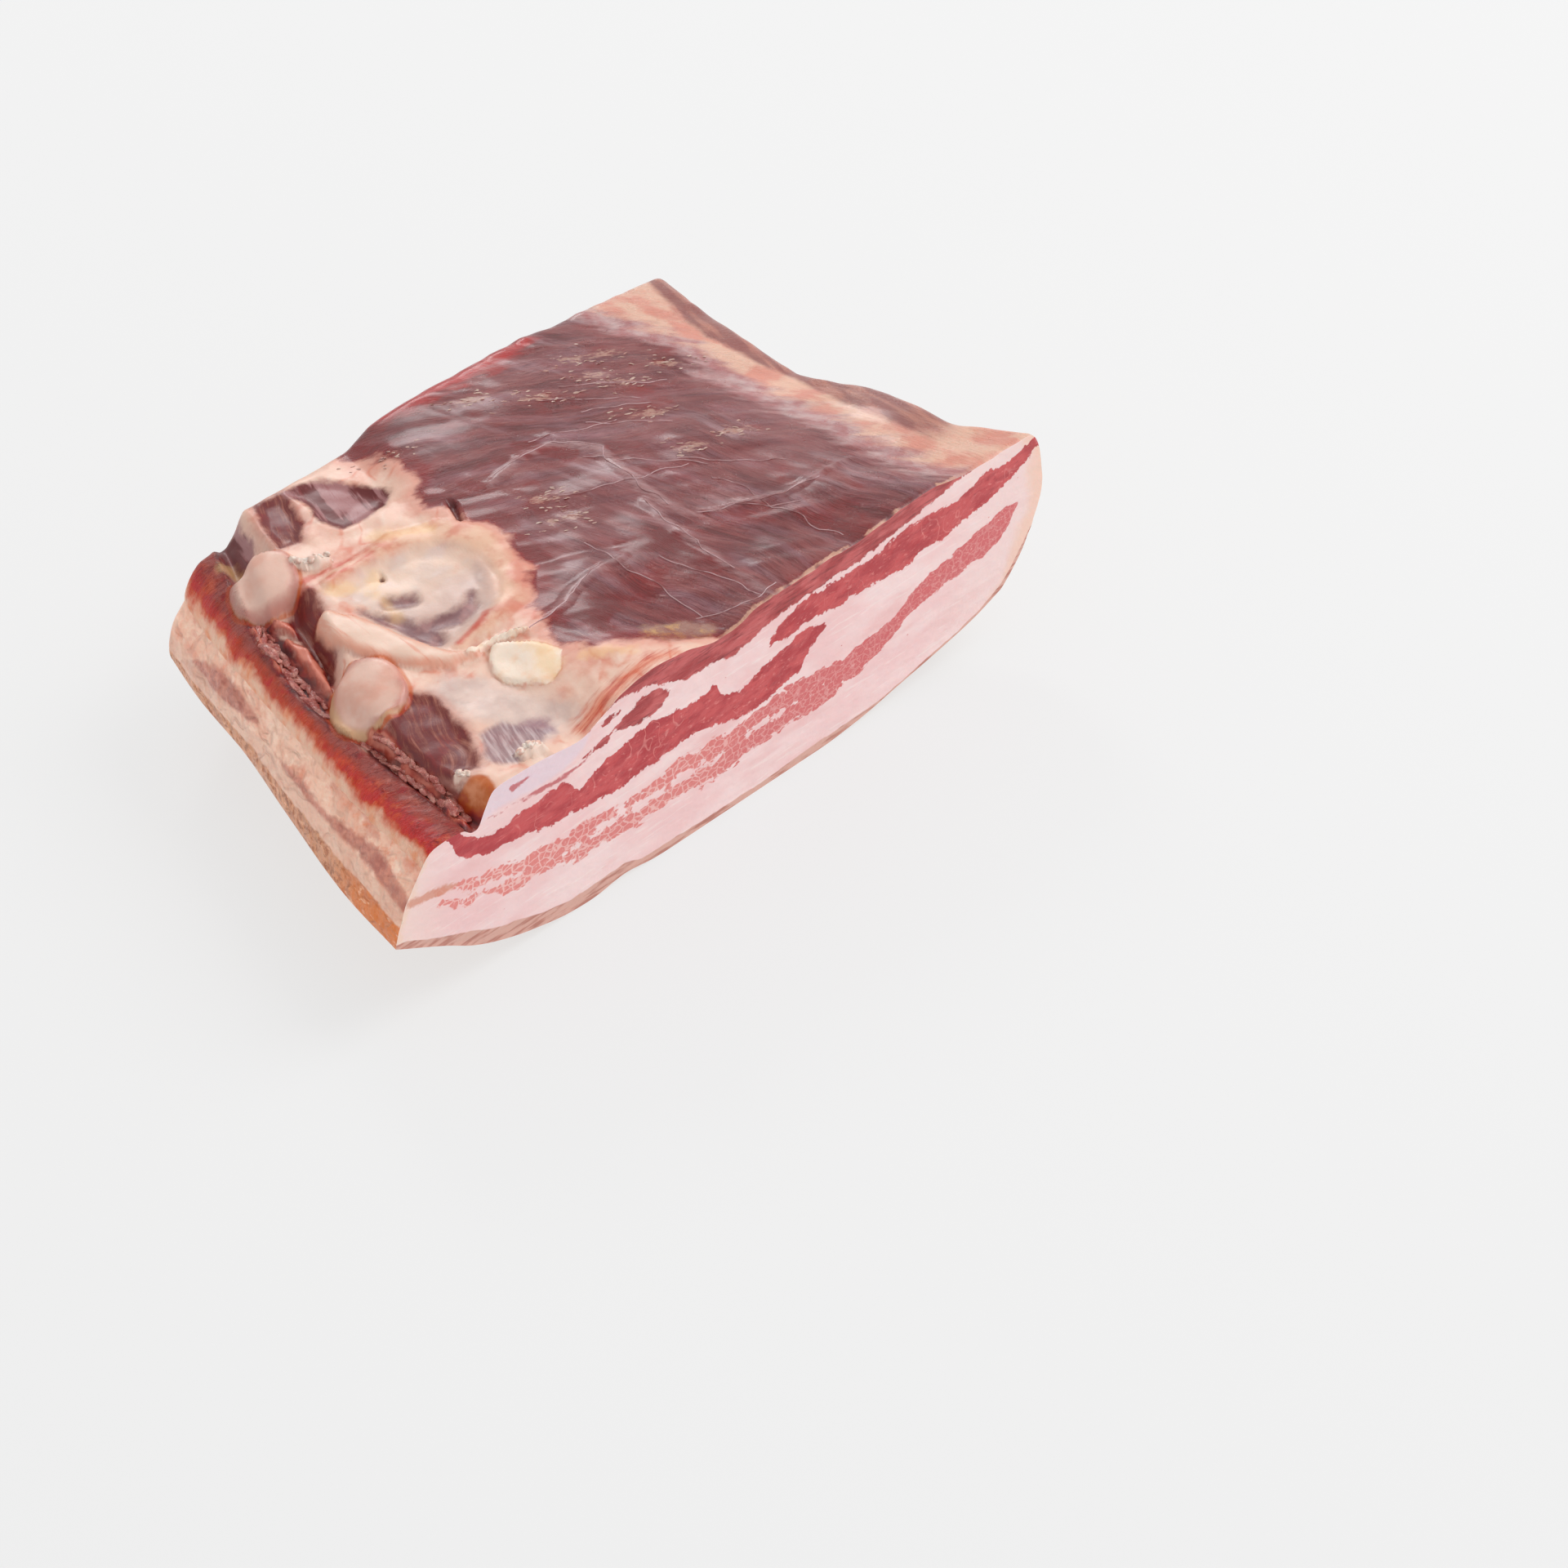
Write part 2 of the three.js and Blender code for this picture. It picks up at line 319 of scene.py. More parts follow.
# %% Veins, holes and what lies in the groove
VEINS = [
    [(56, 96.3, 1.2), (62, 95.7, 0.9), (66.6, 94.9, 0.8), (71, 94.4, 0.5), (76.3, 93.9, 0.3),
     (83, 94.5, 0.1)],
    [(57.5, 92.2, 0.3), (62, 92, 0.35), (67.7, 91.4, 0.35), (78, 92, 0.1)],
    [(52.3, 96.8, 1), (54.4, 92.6, 1.5)], [(66.3, 47.4, 0.8), (72.5, 48.2, 1), (79, 50.2, 0.7)],
]
HOLES = [[(99.6, 83.7, 0.7), (102.9, 90.8, 1.1)], [(71.2, 83, 0.7), (71.7, 83.8, 0.7)]]
FLAPS = [
    [(43.6, 94.6, 1), (44.4, 91, 2), (44, 87, 1)], [(39.4, 98, 0.7), (36.4, 89.5, 1.6), (33.6, 81, 0.9)],
    [(40.8, 85.6, 1.2), (41, 80.5, 1.8), (39, 72, 1.9), (36.2, 64.4, 0.8)],
    [(30.6, 41.6, 1.4), (31.2, 38, 1.7), (30.4, 32, 0.9)],
    [(28.9, 27.4, 1.5), (28.2, 22.6, 1.2), (28.6, 18.4, 1.6), (28.4, 14.6, 1.2)],
    [(27.4, 10, 1.3), (26, 5, 1.5), (26.2, 1.6, 1)],
]
WHITE_LUMPS = [
    [(48.2, 4.4, 1.9), (51, 3.6, 2.2), (53.4, 1.8, 1.2)], [(32.2, 10.6, 1.3), (33.2, 9.6, 0.9)],
    [(59, 103.2, 1.8), (62.4, 99.4, 2.4), (66, 98.6, 1)],
]
BROWN_END = [[(30, 6.6, 1.8), (33, 4.4, 3.4), (32.6, 1.4, 3)]]
FRINGE = [[(66, 2.2, 1.6), (74.5, 2.6, 2.4), (82.7, 2.6, 2), (92, 2.4, 1.6), (99, 0.8, 1)]]
print("flaps in the groove:", len(FLAPS))

# %% Red and pale patches of the muscle
REDDER = [
    [(120, 43, 2), (128.7, 38.7, 4.4), (130.5, 30.6, 3.6), (129.4, 19.6, 2)],
    [(126, 93.7, 2.4), (134, 92, 3), (138.5, 83.4, 1.6)], [(103.6, 81.5, 2.6), (106.8, 73.1, 3)],
    [(163.7, 13.9, 1.6), (168.2, 1.1, 2.4)], [(121.3, 79.5, 2.4), (117, 72, 2)],
    [(150.2, 78.2, 2), (158, 73, 1.6)], [(103.4, 63, 2), (103, 52, 2.2)],
    [(189, 99.6, 1.4), (196.3, 103.7, 2.4)], [(91, 22, 3), (96, 28, 5), (102, 29, 3)],
]
EDGE_RED = [[(112, 134, 3), (135, 131.5, 4), (146, 132, 4.4), (155, 130, 3), (166, 130, 2)]]
MEMBRANE = [
    [(138.6, 53.7, 1), (136.2, 41.2, 1), (135, 30, 0.9), (133, 15.8, 0.7), (132.9, 0, 0.5)],
    [(145.3, 40.4, 0.6), (156.2, 33.7, 0.9), (166.4, 28.8, 1), (177.7, 27.2, 0.6), (190.8, 27.2, 0.3)],
    [(115, 88.6, 1), (130.2, 91.6, 1), (140.7, 89.6, 1.3), (146.5, 80, 1.5), (143.4, 63.8, 1.5),
     (142.4, 47.5, 1.2), (144.6, 34.7, 0.7)],
    [(76, 38.6, 0.8), (80.3, 36, 1.8), (92.6, 36.7, 1.7), (99.6, 39.7, 1.3), (111.2, 40.8, 0.8),
     (118, 40, 0.4)],
]
print("threads of membrane:", len(MEMBRANE))


# %% Where flecks dried on
FIBRES_FRONT, FIBRES_BACK, LEDGE_FIBRES = -78, -30, -14
FLECK_MIDDLES = [
    (170.9, 114.8), (179.6, 112), (169.7, 105.9), (172.6, 98), (188.9, 98.2), (168.5, 82.3), (164.6, 62.2),
    (136.5, 119.2), (119.3, 63.7), (120.2, 74.3), (179.8, 59.7), (104, 118), (150, 108),
]
FLECK_LONG, FLECK_WIDE = 8.0, 3.2


def fleck_patches(x, y):
    """How thick the flecks lie at plan points, 0 to 1: oval patches drawn out along the fibres."""
    a = math.radians(FIBRES_BACK)
    thick = np.zeros(np.shape(x))
    for middle_x, middle_y in FLECK_MIDDLES:
        along = (x - middle_x) * math.cos(a) + (y - middle_y) * math.sin(a)
        across = (y - middle_y) * math.cos(a) - (x - middle_x) * math.sin(a)
        thick = np.maximum(thick, np.exp(-((along / FLECK_LONG) ** 2) - (across / FLECK_WIDE) ** 2))
    return thick


print("patches of flecks:", len(FLECK_MIDDLES))


# %% Depth of the zones
def deepest(shape, x, y, forms):
    return np.max([shape(x, y, *form) for form in forms], axis=0)


def rib_zones(x, y):
    """Depth of every zone of the rib side at plan points, in mm."""
    bands = {
        "knob": KNOBS, "sinew": SINEW, "ring": RING, "murky": MURKY, "yellow": YELLOW, "stain": STAINS,
        "vein": VEINS, "hole": HOLES, "flap": FLAPS, "white_lump": WHITE_LUMPS, "brown_end": BROWN_END,
        "fringe": FRINGE, "redder": REDDER, "edge_red": EDGE_RED, "membrane": MEMBRANE,
    }
    outlines = {
        "pool": [POOL], "window": WINDOWS, "striped": STRIPED, "veil": [VEIL], "clear_fat": [CLEAR_FAT],
        "speckled": [SPECKLED],
    }
    zone = {name: deepest(band, x, y, forms) for name, forms in bands.items()}
    zone.update({name: deepest(outline, x, y, forms) for name, forms in outlines.items()})
    zone["ivory"] = np.maximum(outline(x, y, *IVORY), deepest(band, x, y, IVORY_TIPS))
    zone["bed"] = outline(x, y, *BED)
    zone["ledge"] = groove_x(y) - x
    zone["rim"] = top_left_x(y) - x
    zone["groove"] = 3.6 - np.abs(x - groove_x(y) - 2.4)
    zone["peach"] = x - peach_edge_x(y)
    zone["far_side"] = x - ridge_x(y)
    return zone


print("zones of the rib side:", len(rib_zones(np.zeros(1), np.zeros(1))))


# %% [markdown]
# ## Height of the rib side
# A cartilage end is a round disc with a soft rim, a sinew is a low swelling, a dried flake has one sharp
# step and fades on its other side. A window of muscle is sunk and soft. The rest is unevenness: broad
# dents, and fine ridges that run with the muscle fibres, which turn from one direction at the back to
# another at the front. All this is added to the smooth profile, so it also shapes the cut's top edge.


# %% Relief
def pillow(depth, reach, height):
    """A round rise that has its full height at a distance inside its edge."""
    share = np.clip(depth / reach, 0, 1)
    return height * np.sqrt(1 - (1 - share) ** 2)


def rib_relief(x, y):
    zone = rib_zones(x, y)
    meat = smooth_step(-zone["bed"], -4, 6)
    relief = 0.8 * lumps(x, y, 0, (36, 30, 9), 5) + 0.5 * lumps(x, y, 0, (13, 11, 9), 6)
    fibres = 0.3 * lumps(x, y, 0, (30, 3.6, 9), 7, FIBRES_FRONT)
    fibres += 0.3 * lumps(x, y, 0, (26, 3.2, 9), 8, FIBRES_BACK)
    relief += between(0.2 * lumps(x, y, 0, (4.6, 4.6, 9), 9), fibres, meat)
    crumbly = 1 + 0.5 * lumps(x, y, 0, (2.1, 2.4, 9), 11)
    relief += pillow(zone["knob"], 3.2, 2.8) + 1.2 * smooth_step(zone["knob"], 0, 9)
    relief += pillow(zone["sinew"], 3.4, 1.9) + pillow(zone["ring"], 5, 0.9)
    relief += pillow(zone["ivory"], 0.9, 1.3) * (1 - smooth_step(x - y, 44, 56))
    relief += crumbly * (pillow(zone["flap"], 1.5, 1.7) + pillow(zone["white_lump"], 1.6, 1.9))
    relief += 0.5 * smooth_step(zone["membrane"], -0.8, 0.8)
    relief -= 1.4 * smooth_step(zone["pool"], -1, 4) + 0.8 * smooth_step(zone["murky"], -1, 2)
    relief -= 1.4 * smooth_step(np.maximum(zone["window"], zone["striped"]), -1, 3)
    relief -= 1.8 * smooth_step(zone["groove"], 0, 3) + 1.6 * smooth_step(zone["hole"], -0.6, 0.6)
    relief += smooth_step(zone["ledge"], 0, 2) * 0.5 * lumps(x, y, 0, (5, 1.8, 9), 10, LEDGE_FIBRES)
    return relief


# %% [markdown]
# ## Edges of a section
# Each section has four edges: rind, rib side and two ends. The rind's edge waves a little at the cut.
# The ends dried while curing, so they get creases and lumps, which fade out at their corners so that the
# faces still meet. The creases only go inwards from the solid's surface. A low step parts the ledge from
# the rest of the rib side; where a knob of cartilage lies over it, the step is one even slope.


# %% The four edges
KNOB_WIDTH = 18
RIND_WAVE_X, RIND_WAVE_LENGTH, RIND_WAVE_HEIGHT = 77, 8, 1.6


def roll(distance, radius):
    """How far a surface has sunk at a distance from an edge rounded to a radius."""
    d = np.clip(radius - distance, 0, radius)
    return radius - np.sqrt(radius * radius - d * d)


def rib_point(share, y):
    left, right = top_left_x(y), top_right_x(y)
    x = between(left, right, share)
    back = y / WIDTH
    to_middle, to_back = smooth_step(back, 0, MIDDLE), smooth_step(back, MIDDLE, 1)

    def profile(s):
        return between(between(front_top(s), middle_top(s), to_middle), back_top(s), to_back)

    height = profile(share) + (ridge_height(y) - profile(1)) * smooth_step(share, 0.75, 1)
    step = smooth_step(x - ledge_x(y), 0, LEDGE_SLOPE)
    tilted = np.clip(0.5 + (x - KNOB_MIDDLE_X(y)) / KNOB_WIDTH, 0, 1)
    step = between(step, tilted, smooth_step(deepest(band, x, y, KNOBS), 0, 3))
    height += rib_relief(x, y) - LEDGE_DROP * (1 - step)
    edges = roll(x - left, LEFT_ROUND) + roll(right - x, EDGE_ROUND) + roll(WIDTH - y, EDGE_ROUND)
    return np.array([x, height - edges - roll(y, CUT_ROUND)])


def rind_point(share, y):
    x = between(rind_left_x(y), RIND_RIGHT_X + top_right_x(y) - TOP_RIGHT_X, share)
    wave = RIND_WAVE_HEIGHT * np.exp(-(((x - RIND_WAVE_X) / RIND_WAVE_LENGTH) ** 2) - y / 12)
    return np.array([x, rind_height(share) + wave])


def end_point(rise, y, share, outward, seed):
    low, high = rind_point(share, y), rib_point(share, y)
    x, z = between(low, high, rise)
    fade = np.sin(np.pi * rise) ** 0.6
    creases = np.abs(lumps(0 * y, y, z, (9, 17, 6), seed))
    soft = 0.5 * lumps(0 * y, y, z, (9, 26, 12), seed + 1) + 0.3 * lumps(0 * y, y, z, (9, 5, 3.5), seed + 2)
    inward = fade * (0.8 + soft - 0.9 * creases)
    return np.array([x + outward * np.sin(np.pi * rise) ** 0.8 - np.sign(outward) * inward, z])


def section_point(share, rise, y):
    """Any point of the section at a distance y from the cut, as x and z in mm."""
    none, whole = np.zeros_like(share), np.ones_like(share)
    bottom, top = rind_point(share, y), rib_point(share, y)
    left, right = end_point(rise, y, none, -LEFT_BULGE, 21), end_point(rise, y, whole, RIGHT_BULGE, 31)
    edges = between(bottom, top, rise) + between(left, right, share)
    low = between(rind_point(none, y), rind_point(whole, y), share)
    high = between(rib_point(none, y), rib_point(whole, y), share)
    return edges - between(low, high, rise)


print("the left edge rolls over within", LEFT_ROUND, "mm, the cut's edge within", CUT_ROUND, "mm")


# %% [markdown]
# ## Lattice of the skin
# Six grids wrap the slab and share their edges, so the skin is closed without any merging. The columns
# follow the foot and the top of the ledge's step, and are closest between there and the end of the fat,
# where the forms are small. Rows and columns turn the round edges in equal angles.

# %% Columns, rows and layers
COLUMN_ENDS = np.array([0, 5, 26, 34, 128, 227, 232])
BACK_ROWS, ROWS, LAYERS = 5, 129, 46
COLUMNS = COLUMN_ENDS[-1]
SMALL_FORMS_END_X = 106


def column_share(column, y):
    """Where a column crosses the rib side, as a share of the way from its left edge to its right."""
    left, right, foot = top_left_x(y), top_right_x(y), ledge_x(y)
    stops = np.array([
        left, left + LEFT_ROUND, foot, foot + LEDGE_SLOPE, np.full_like(y, SMALL_FORMS_END_X),
        right - EDGE_ROUND, right,
    ])
    part = np.clip(np.searchsorted(COLUMN_ENDS, column, "right") - 1, 0, len(COLUMN_ENDS) - 2)
    t = (column - COLUMN_ENDS[part]) / (COLUMN_ENDS[part + 1] - COLUMN_ENDS[part])
    t = np.where(part == 0, 1 - np.cos(t * math.pi / 2), t)
    t = np.where(part == len(COLUMN_ENDS) - 2, np.sin(t * math.pi / 2), t)
    which = np.arange(len(y))
    return (between(stops[part, which], stops[part + 1, which], t) - left) / (right - left)


def row_y(row):
    turn = np.clip((row - ROWS + BACK_ROWS) / BACK_ROWS, 0, 1) * math.pi / 2
    return (WIDTH - EDGE_ROUND) * np.minimum(row / (ROWS - BACK_ROWS), 1) + EDGE_ROUND * np.sin(turn)


on_skin = np.zeros((COLUMNS + 1, LAYERS + 1, ROWS + 1), bool)
on_skin[[0, -1]] = on_skin[:, [0, -1]] = on_skin[:, :, [0, -1]] = True
vertex_at = np.full(on_skin.shape, -1)
vertex_at[on_skin] = np.arange(on_skin.sum())
column, layer, row = np.nonzero(on_skin)
y = row_y(row)
share = column_share(column, y)
rise = layer / LAYERS
x, z = section_point(share, rise, y)
print("vertices on the skin:", len(x))

# %% [markdown]
# ## Small depths of the flat faces
# The knife leaves the cut almost flat, with faint waves. The back dried and shrank a little between its
# layers. Both stay inside the solid. The ends turn in towards the back, as the solid's do.

# %% Knife waves, back and the turned-in corners
face_fade = (16 * share * (1 - share) * rise * (1 - rise)).clip(0, 1) ** 0.4
knife = 0.2 + 0.12 * lumps(x, 0, z, (55, 9, 7), 41, 0) + 0.06 * lumps(x, 0, z, (5, 9, 3), 42)
shrunk = 1.0 + 0.6 * lumps(x, 0, z, (24, 9, 8), 43) - 0.5 * np.abs(lumps(x, 0, z, (30, 9, 5), 44))
y_skin = y + np.where(row == 0, face_fade * knife, 0) - np.where(row == ROWS, face_fade * shrunk, 0)
x_skin = x + roll(WIDTH - y, EDGE_ROUND) * 0.5 * between(1, -1, share)
points = np.clip(np.stack([x_skin, y_skin, z], axis=1), 0, SIZE)
print("highest point of the rib side:", z.max().round(2), "mm, the solid's is", SIZE[2].round(2))


# %% Quads of the six faces
def grid_faces(corners):
    """Quads over a grid of vertex numbers, facing out for a grid that turns anticlockwise."""
    turning = [corners[:-1, :-1], corners[1:, :-1], corners[1:, 1:], corners[:-1, 1:]]
    return np.stack(turning, axis=-1).reshape(-1, 4)


CUT, SIDES, RIB, RIND = range(4)
FACES = [
    (CUT, grid_faces(vertex_at[:, :, 0])),
    (SIDES, grid_faces(vertex_at[:, :, -1].T)),
    (RIB, grid_faces(vertex_at[:, -1, :])),
    (RIND, grid_faces(vertex_at[:, 0, :].T)),
    (SIDES, grid_faces(vertex_at[0])),
    (SIDES, grid_faces(vertex_at[-1].T)),
]
quads = np.concatenate([faces for _, faces in FACES])
finish_of = np.concatenate([np.full(len(faces), finish) for finish, faces in FACES])
print("triangles:", 2 * len(quads))

# %% [markdown]
# ## Layers on the fresh cut
# Bacon's look is its layers: two rows of pale lean low down, a strong red streak through the middle, a
# second one that starts halfway along, and a third just under the rib side. A streak is measured as a
# line along the cut, with its half thickness at each point. Its depth is a plain difference in height,
# which is enough because no streak is steep.


# %% Streaks as curves
def streak(*stations):
    """Depth inside a streak through (x, height, half thickness) stations on the cut, in mm."""
    middle = curve(*[(x, height) for x, height, _ in stations])
    half = curve(*[(x, thickness) for x, _, thickness in stations])
    start, end = stations[0][0], stations[-1][0]

    def depth_at(x, z):
        beyond = np.maximum(np.maximum(start - x, x - end), 0)
        return half(x) - np.hypot(z - middle(x), beyond)

    return depth_at


MAIN_LEAN = streak(
    (17.5, 52, 0.5), (20, 49.5, 1.6), (22, 45.6, 3.2), (25, 43, 2.5), (30, 40.4, 1.8), (35, 39.3, 2.1),
    (42, 39.7, 2.9), (47, 39, 3.3), (54, 38.1, 4.9), (58.5, 38.2, 4.4), (63, 35.4, 2.1), (67, 36.2, 3.9),
    (74, 37, 5), (82, 37.7, 5.8), (89, 38.6, 6), (96, 38.4, 5), (104, 38.1, 4.5), (109, 38.2, 5.2),
    (111, 38.6, 6.2), (112.8, 35.8, 4.2), (118, 33.6, 3.6), (123, 33.3, 4), (128, 34.2, 5),
    (137, 36.2, 5.1), (142.5, 37.7, 5.4), (146, 39.8, 3.3), (150, 40.5, 1), (152, 40.6, 0.2),
)
SECOND_LEAN = streak(
    (132.5, 47.2, 0.4), (136, 48.2, 2), (140, 48.7, 2.8), (145, 50.1, 3.1), (151, 49.9, 3),
    (157, 49.1, 3.8), (163, 49.5, 3.2), (170, 49, 3.3), (177, 49.8, 4.6), (185, 50.1, 5.3), (191, 51, 4.3),
    (198, 50.6, 4.5), (204, 51, 3.3), (212, 52.6, 3.9), (216, 53.5, 4.5), (222, 53.9, 2.9),
    (229, 55.6, 2.3), (238, 59, 1),
)
PALE_UPPER = streak(
    (15, 34.5, 1), (21, 33, 1.4), (29.7, 29, 1.8), (36.6, 28, 2.2), (43.4, 25.8, 2.1), (51.4, 25, 2.4),
    (57, 23.8, 2.1), (63.4, 25.3, 2.7), (74.8, 24.2, 1.7), (90.5, 23.6, 1.9), (99, 25.3, 2.8),
    (104.7, 24.3, 2.2), (109.5, 24, 3), (117.5, 23.2, 2.6), (131, 25.5, 2.9), (144, 24.4, 2.9),
    (152, 24.6, 3), (157, 24, 2.4), (159, 24, 1),
)
PALE_LOWER = streak(
    (15, 31, 0.8), (20, 28.3, 1.7), (25.4, 26.3, 1.8), (29, 25, 0.7), (36, 23, 1.7), (43, 21.5, 1.8),
    (51, 21.3, 1.2), (58, 19.4, 1.9), (65, 18.6, 2.4), (78.6, 18, 2.4), (93.4, 17.7, 2.3), (101, 17.4, 2.5),
    (108.4, 16.6, 3), (118, 16.6, 3.1), (125, 18.1, 2.4), (133, 18.5, 2.6), (144, 17.9, 3.1),
    (150, 18, 3.5), (157.8, 18.9, 2.3),
)
PALE_RIGHT = streak(
    (157.5, 21.8, 1.6), (160, 21.8, 3.4), (165, 21.7, 4.4), (169, 23.2, 4), (174.5, 24.2, 3.3),
    (181, 26.4, 2.6), (186, 29.8, 3.2), (194, 31.6, 3.7), (202.7, 33.4, 3.9), (209.5, 34.6, 3.9),
    (216, 35.7, 4.9), (221, 37, 4.9), (225, 38.4, 3.6), (229, 41, 0.6),
)
TAN_TAIL = streak((2.5, 37.8, 0.5), (6, 36.6, 1), (11, 35.9, 1.1), (17, 34.4, 1.2), (21, 33.4, 0.6))
DARK_SPOT = streak(
    (75.6, 50.4, 0.4), (78.5, 50.8, 1.6), (82, 51, 2.8), (86.5, 51.6, 4), (91, 51.6, 3.1), (94, 51.9, 1.2),
)
DARK_TRAIL = streak((62, 47.2, 0.3), (67.6, 48.3, 0.7), (72.5, 49.4, 1), (75, 50.4, 0.6))
DARK_BIT = streak((71.5, 54.6, 0.5), (74, 55, 0.9), (77.3, 55.4, 0.7))
RED_LINE = streak(
    (31, 47.8, 0.2), (40, 47.2, 0.45), (48, 46.6, 0.6), (56, 46, 0.7), (63, 46.4, 0.5), (68, 48.4, 0.2),
)
RED_BITS = streak((38.6, 54.6, 0.3), (40.4, 52.4, 0.9), (44, 52.6, 0.6), (47, 53.2, 0.2))
CARTILAGE = (
    (28, 48), (30, 53), (34, 60), (48, 60), (60, 58.5), (67, 54), (64, 50.4), (58, 48.2), (50, 47.6),
    (43, 48.2), (35.8, 49),
)
top_lean_low = curve(
    (62, 55.2), (66, 55.4), (70, 57.4), (75, 59.3), (86.6, 58.2), (91, 56.3), (96.6, 53.9), (103.6, 52.1),
    (110, 52), (118, 50.2), (122.8, 51.3), (129.3, 53.4), (135, 54.4), (150, 55.3), (168, 56),
    (190, 59.3), (200, 61), (211, 62.6), (236, 66),
)
rind_top = curve(
    (0, 26.6), (5, 24.7), (11.5, 20.9), (18, 18.1), (25.6, 14.6), (32.3, 11.2), (39.2, 9.2), (47, 6.4),
    (53, 4.9), (59, 4), (66, 4.2), (77, 4.4), (84, 2.3), (93, 2.1), (99.5, 1.8), (108, 1.5), (130, 1.3),
    (149, 2.2), (170, 2.6), (192, 6.2), (212, 10.6), (224, 16), (236, 30),
)
print("the main lean is", 2 * MAIN_LEAN(89, 38.6), "mm thick near its middle")


# %% Depth of the layers
def cut_layers(x, z):
    """Depth of every layer of the fresh cut, in mm."""
    return {
        "main_lean": MAIN_LEAN(x, z),
        "second_lean": SECOND_LEAN(x, z),
        "top_lean": np.minimum(z - top_lean_low(x), (x - 62) * 0.7),
        "dark_spot": np.max([DARK_SPOT(x, z), DARK_TRAIL(x, z), DARK_BIT(x, z)], axis=0),
        "red_line": np.maximum(RED_LINE(x, z), RED_BITS(x, z)),
        "pale_lean": np.maximum(PALE_UPPER(x, z), PALE_LOWER(x, z)),
        "pale_right": PALE_RIGHT(x, z),
        "tan_tail": TAN_TAIL(x, z),
        "cartilage": outline(x, z, *CARTILAGE),
        "rind_edge": rind_top(x) - z,
    }


layers = cut_layers(x, z)
print("layers on the cut:", sorted(layers))

# %% [markdown]
# ## Layers on the left end
# The left end shows the same layers as the cut, but dried: the rind turned up into a tan strip, a line of
# white fat, a thin brownish lean that swells twice, and the cream fat of the top. They are measured by
# distance from the cut and height.

# %% Layers of the left end
LEFT_LEAN = streak(
    (0, 36.6, 1.8), (9, 38, 2), (17, 38.6, 2.2), (24, 38, 1.8), (33, 37, 1.3), (44, 36.2, 0.9),
    (50, 36, 1.1), (60, 35.6, 0.8), (70, 35.4, 0.2),
)
LEFT_OVAL = streak(
    (80, 37.4, 0.3), (88, 37, 2), (97, 36, 3.4), (106, 34.8, 3.2), (114, 32.6, 2.6), (121, 30.4, 1),
)
left_rind_top = curve((0, 31.4), (15, 31.8), (40, 31.4), (60, 31), (85, 30), (100, 29.6), (WIDTH, 28))


def left_layers(y, z):
    """Depth of every layer of the left end, in mm."""
    return {
        "left_lean": LEFT_LEAN(y, z),
        "left_oval": LEFT_OVAL(y, z),
        "left_rind": left_rind_top(y) - z,
    }


print("the left end's rind turns up to", left_rind_top(0), "mm")

# %% [markdown]
# ## Measures that the finishes read
# Every depth goes into the mesh as an attribute with one number for each vertex, in mm. The finishes
# read them by name. Between vertices Blender blends them, so an edge that is placed by a depth of zero is
# smoother and finer than the mesh itself.


# %% Make the slab's mesh
def mesh_object(name, vertices, faces):
    """A mesh object from points in mm, placed in the frame, with its place in its mesh."""
    mesh = bpy.data.meshes.new(name)
    spots = np.asarray(vertices) / MM_IN_A_METRE + np.array(CAD_LOW)
    mesh.from_pydata(spots.tolist(), [], np.asarray(faces).tolist())
    made = bpy.data.objects.new(name, mesh)
    bpy.context.scene.collection.objects.link(made)
    return made


SHARP_CORNER = math.radians(48)
slab = mesh_object("pork_belly_slab", points, quads)
slab.data.polygons.foreach_set("material_index", finish_of)
slab.data.shade_smooth()
slab.data.set_sharp_from_angle(angle=SHARP_CORNER)
measures = {**layers, **rib_zones(x, y), **left_layers(y, z)}
width_here = top_right_x(y) - top_left_x(y)
measures.update({"rise": rise, "from_cut": y, "along": x, "from_right": (1 - share) * width_here})
measures["from_left"] = share * width_here
measures["flecks"] = fleck_patches(x, y)
for name, values in measures.items():
    slab.data.attributes.new(name, "FLOAT", "POINT").data.foreach_set("value", values.astype(np.float32))
print("slab:", len(slab.data.polygons), "faces,", len(measures), "measures")

# %% [markdown]
# ## Writing finishes as sums
# A finish is a network of shader nodes. Written node by node it is hard to read, so a small class wraps
# a socket and lets Python's operators add the Math nodes: 1 - mask makes a Subtract node. All other
# nodes come from one method. Colours are never put through Math nodes, which would turn them grey.


# %% A socket that can be added and multiplied
class Wire:
    """One output socket of a network that takes part in sums."""

    def __init__(self, network, socket):
        self.network = network
        self.socket = socket

    def sum_with(self, operation, *values):
        return self.network.node("Math", {"operation": operation}, dict(enumerate(values)))

    def __add__(self, other):
        return self.sum_with("ADD", self, other)

    def __radd__(self, other):
        return self.sum_with("ADD", other, self)

    def __sub__(self, other):
        return self.sum_with("SUBTRACT", self, other)

    def __rsub__(self, other):
        return self.sum_with("SUBTRACT", other, self)

    def __mul__(self, other):
        return self.sum_with("MULTIPLY", self, other)

    def __rmul__(self, other):
        return self.sum_with("MULTIPLY", other, self)

    def size_only(self):
        return self.sum_with("ABSOLUTE", self)

    def most(self, other):
        return self.sum_with("MAXIMUM", self, other)

    def least(self, other):
        return self.sum_with("MINIMUM", self, other)


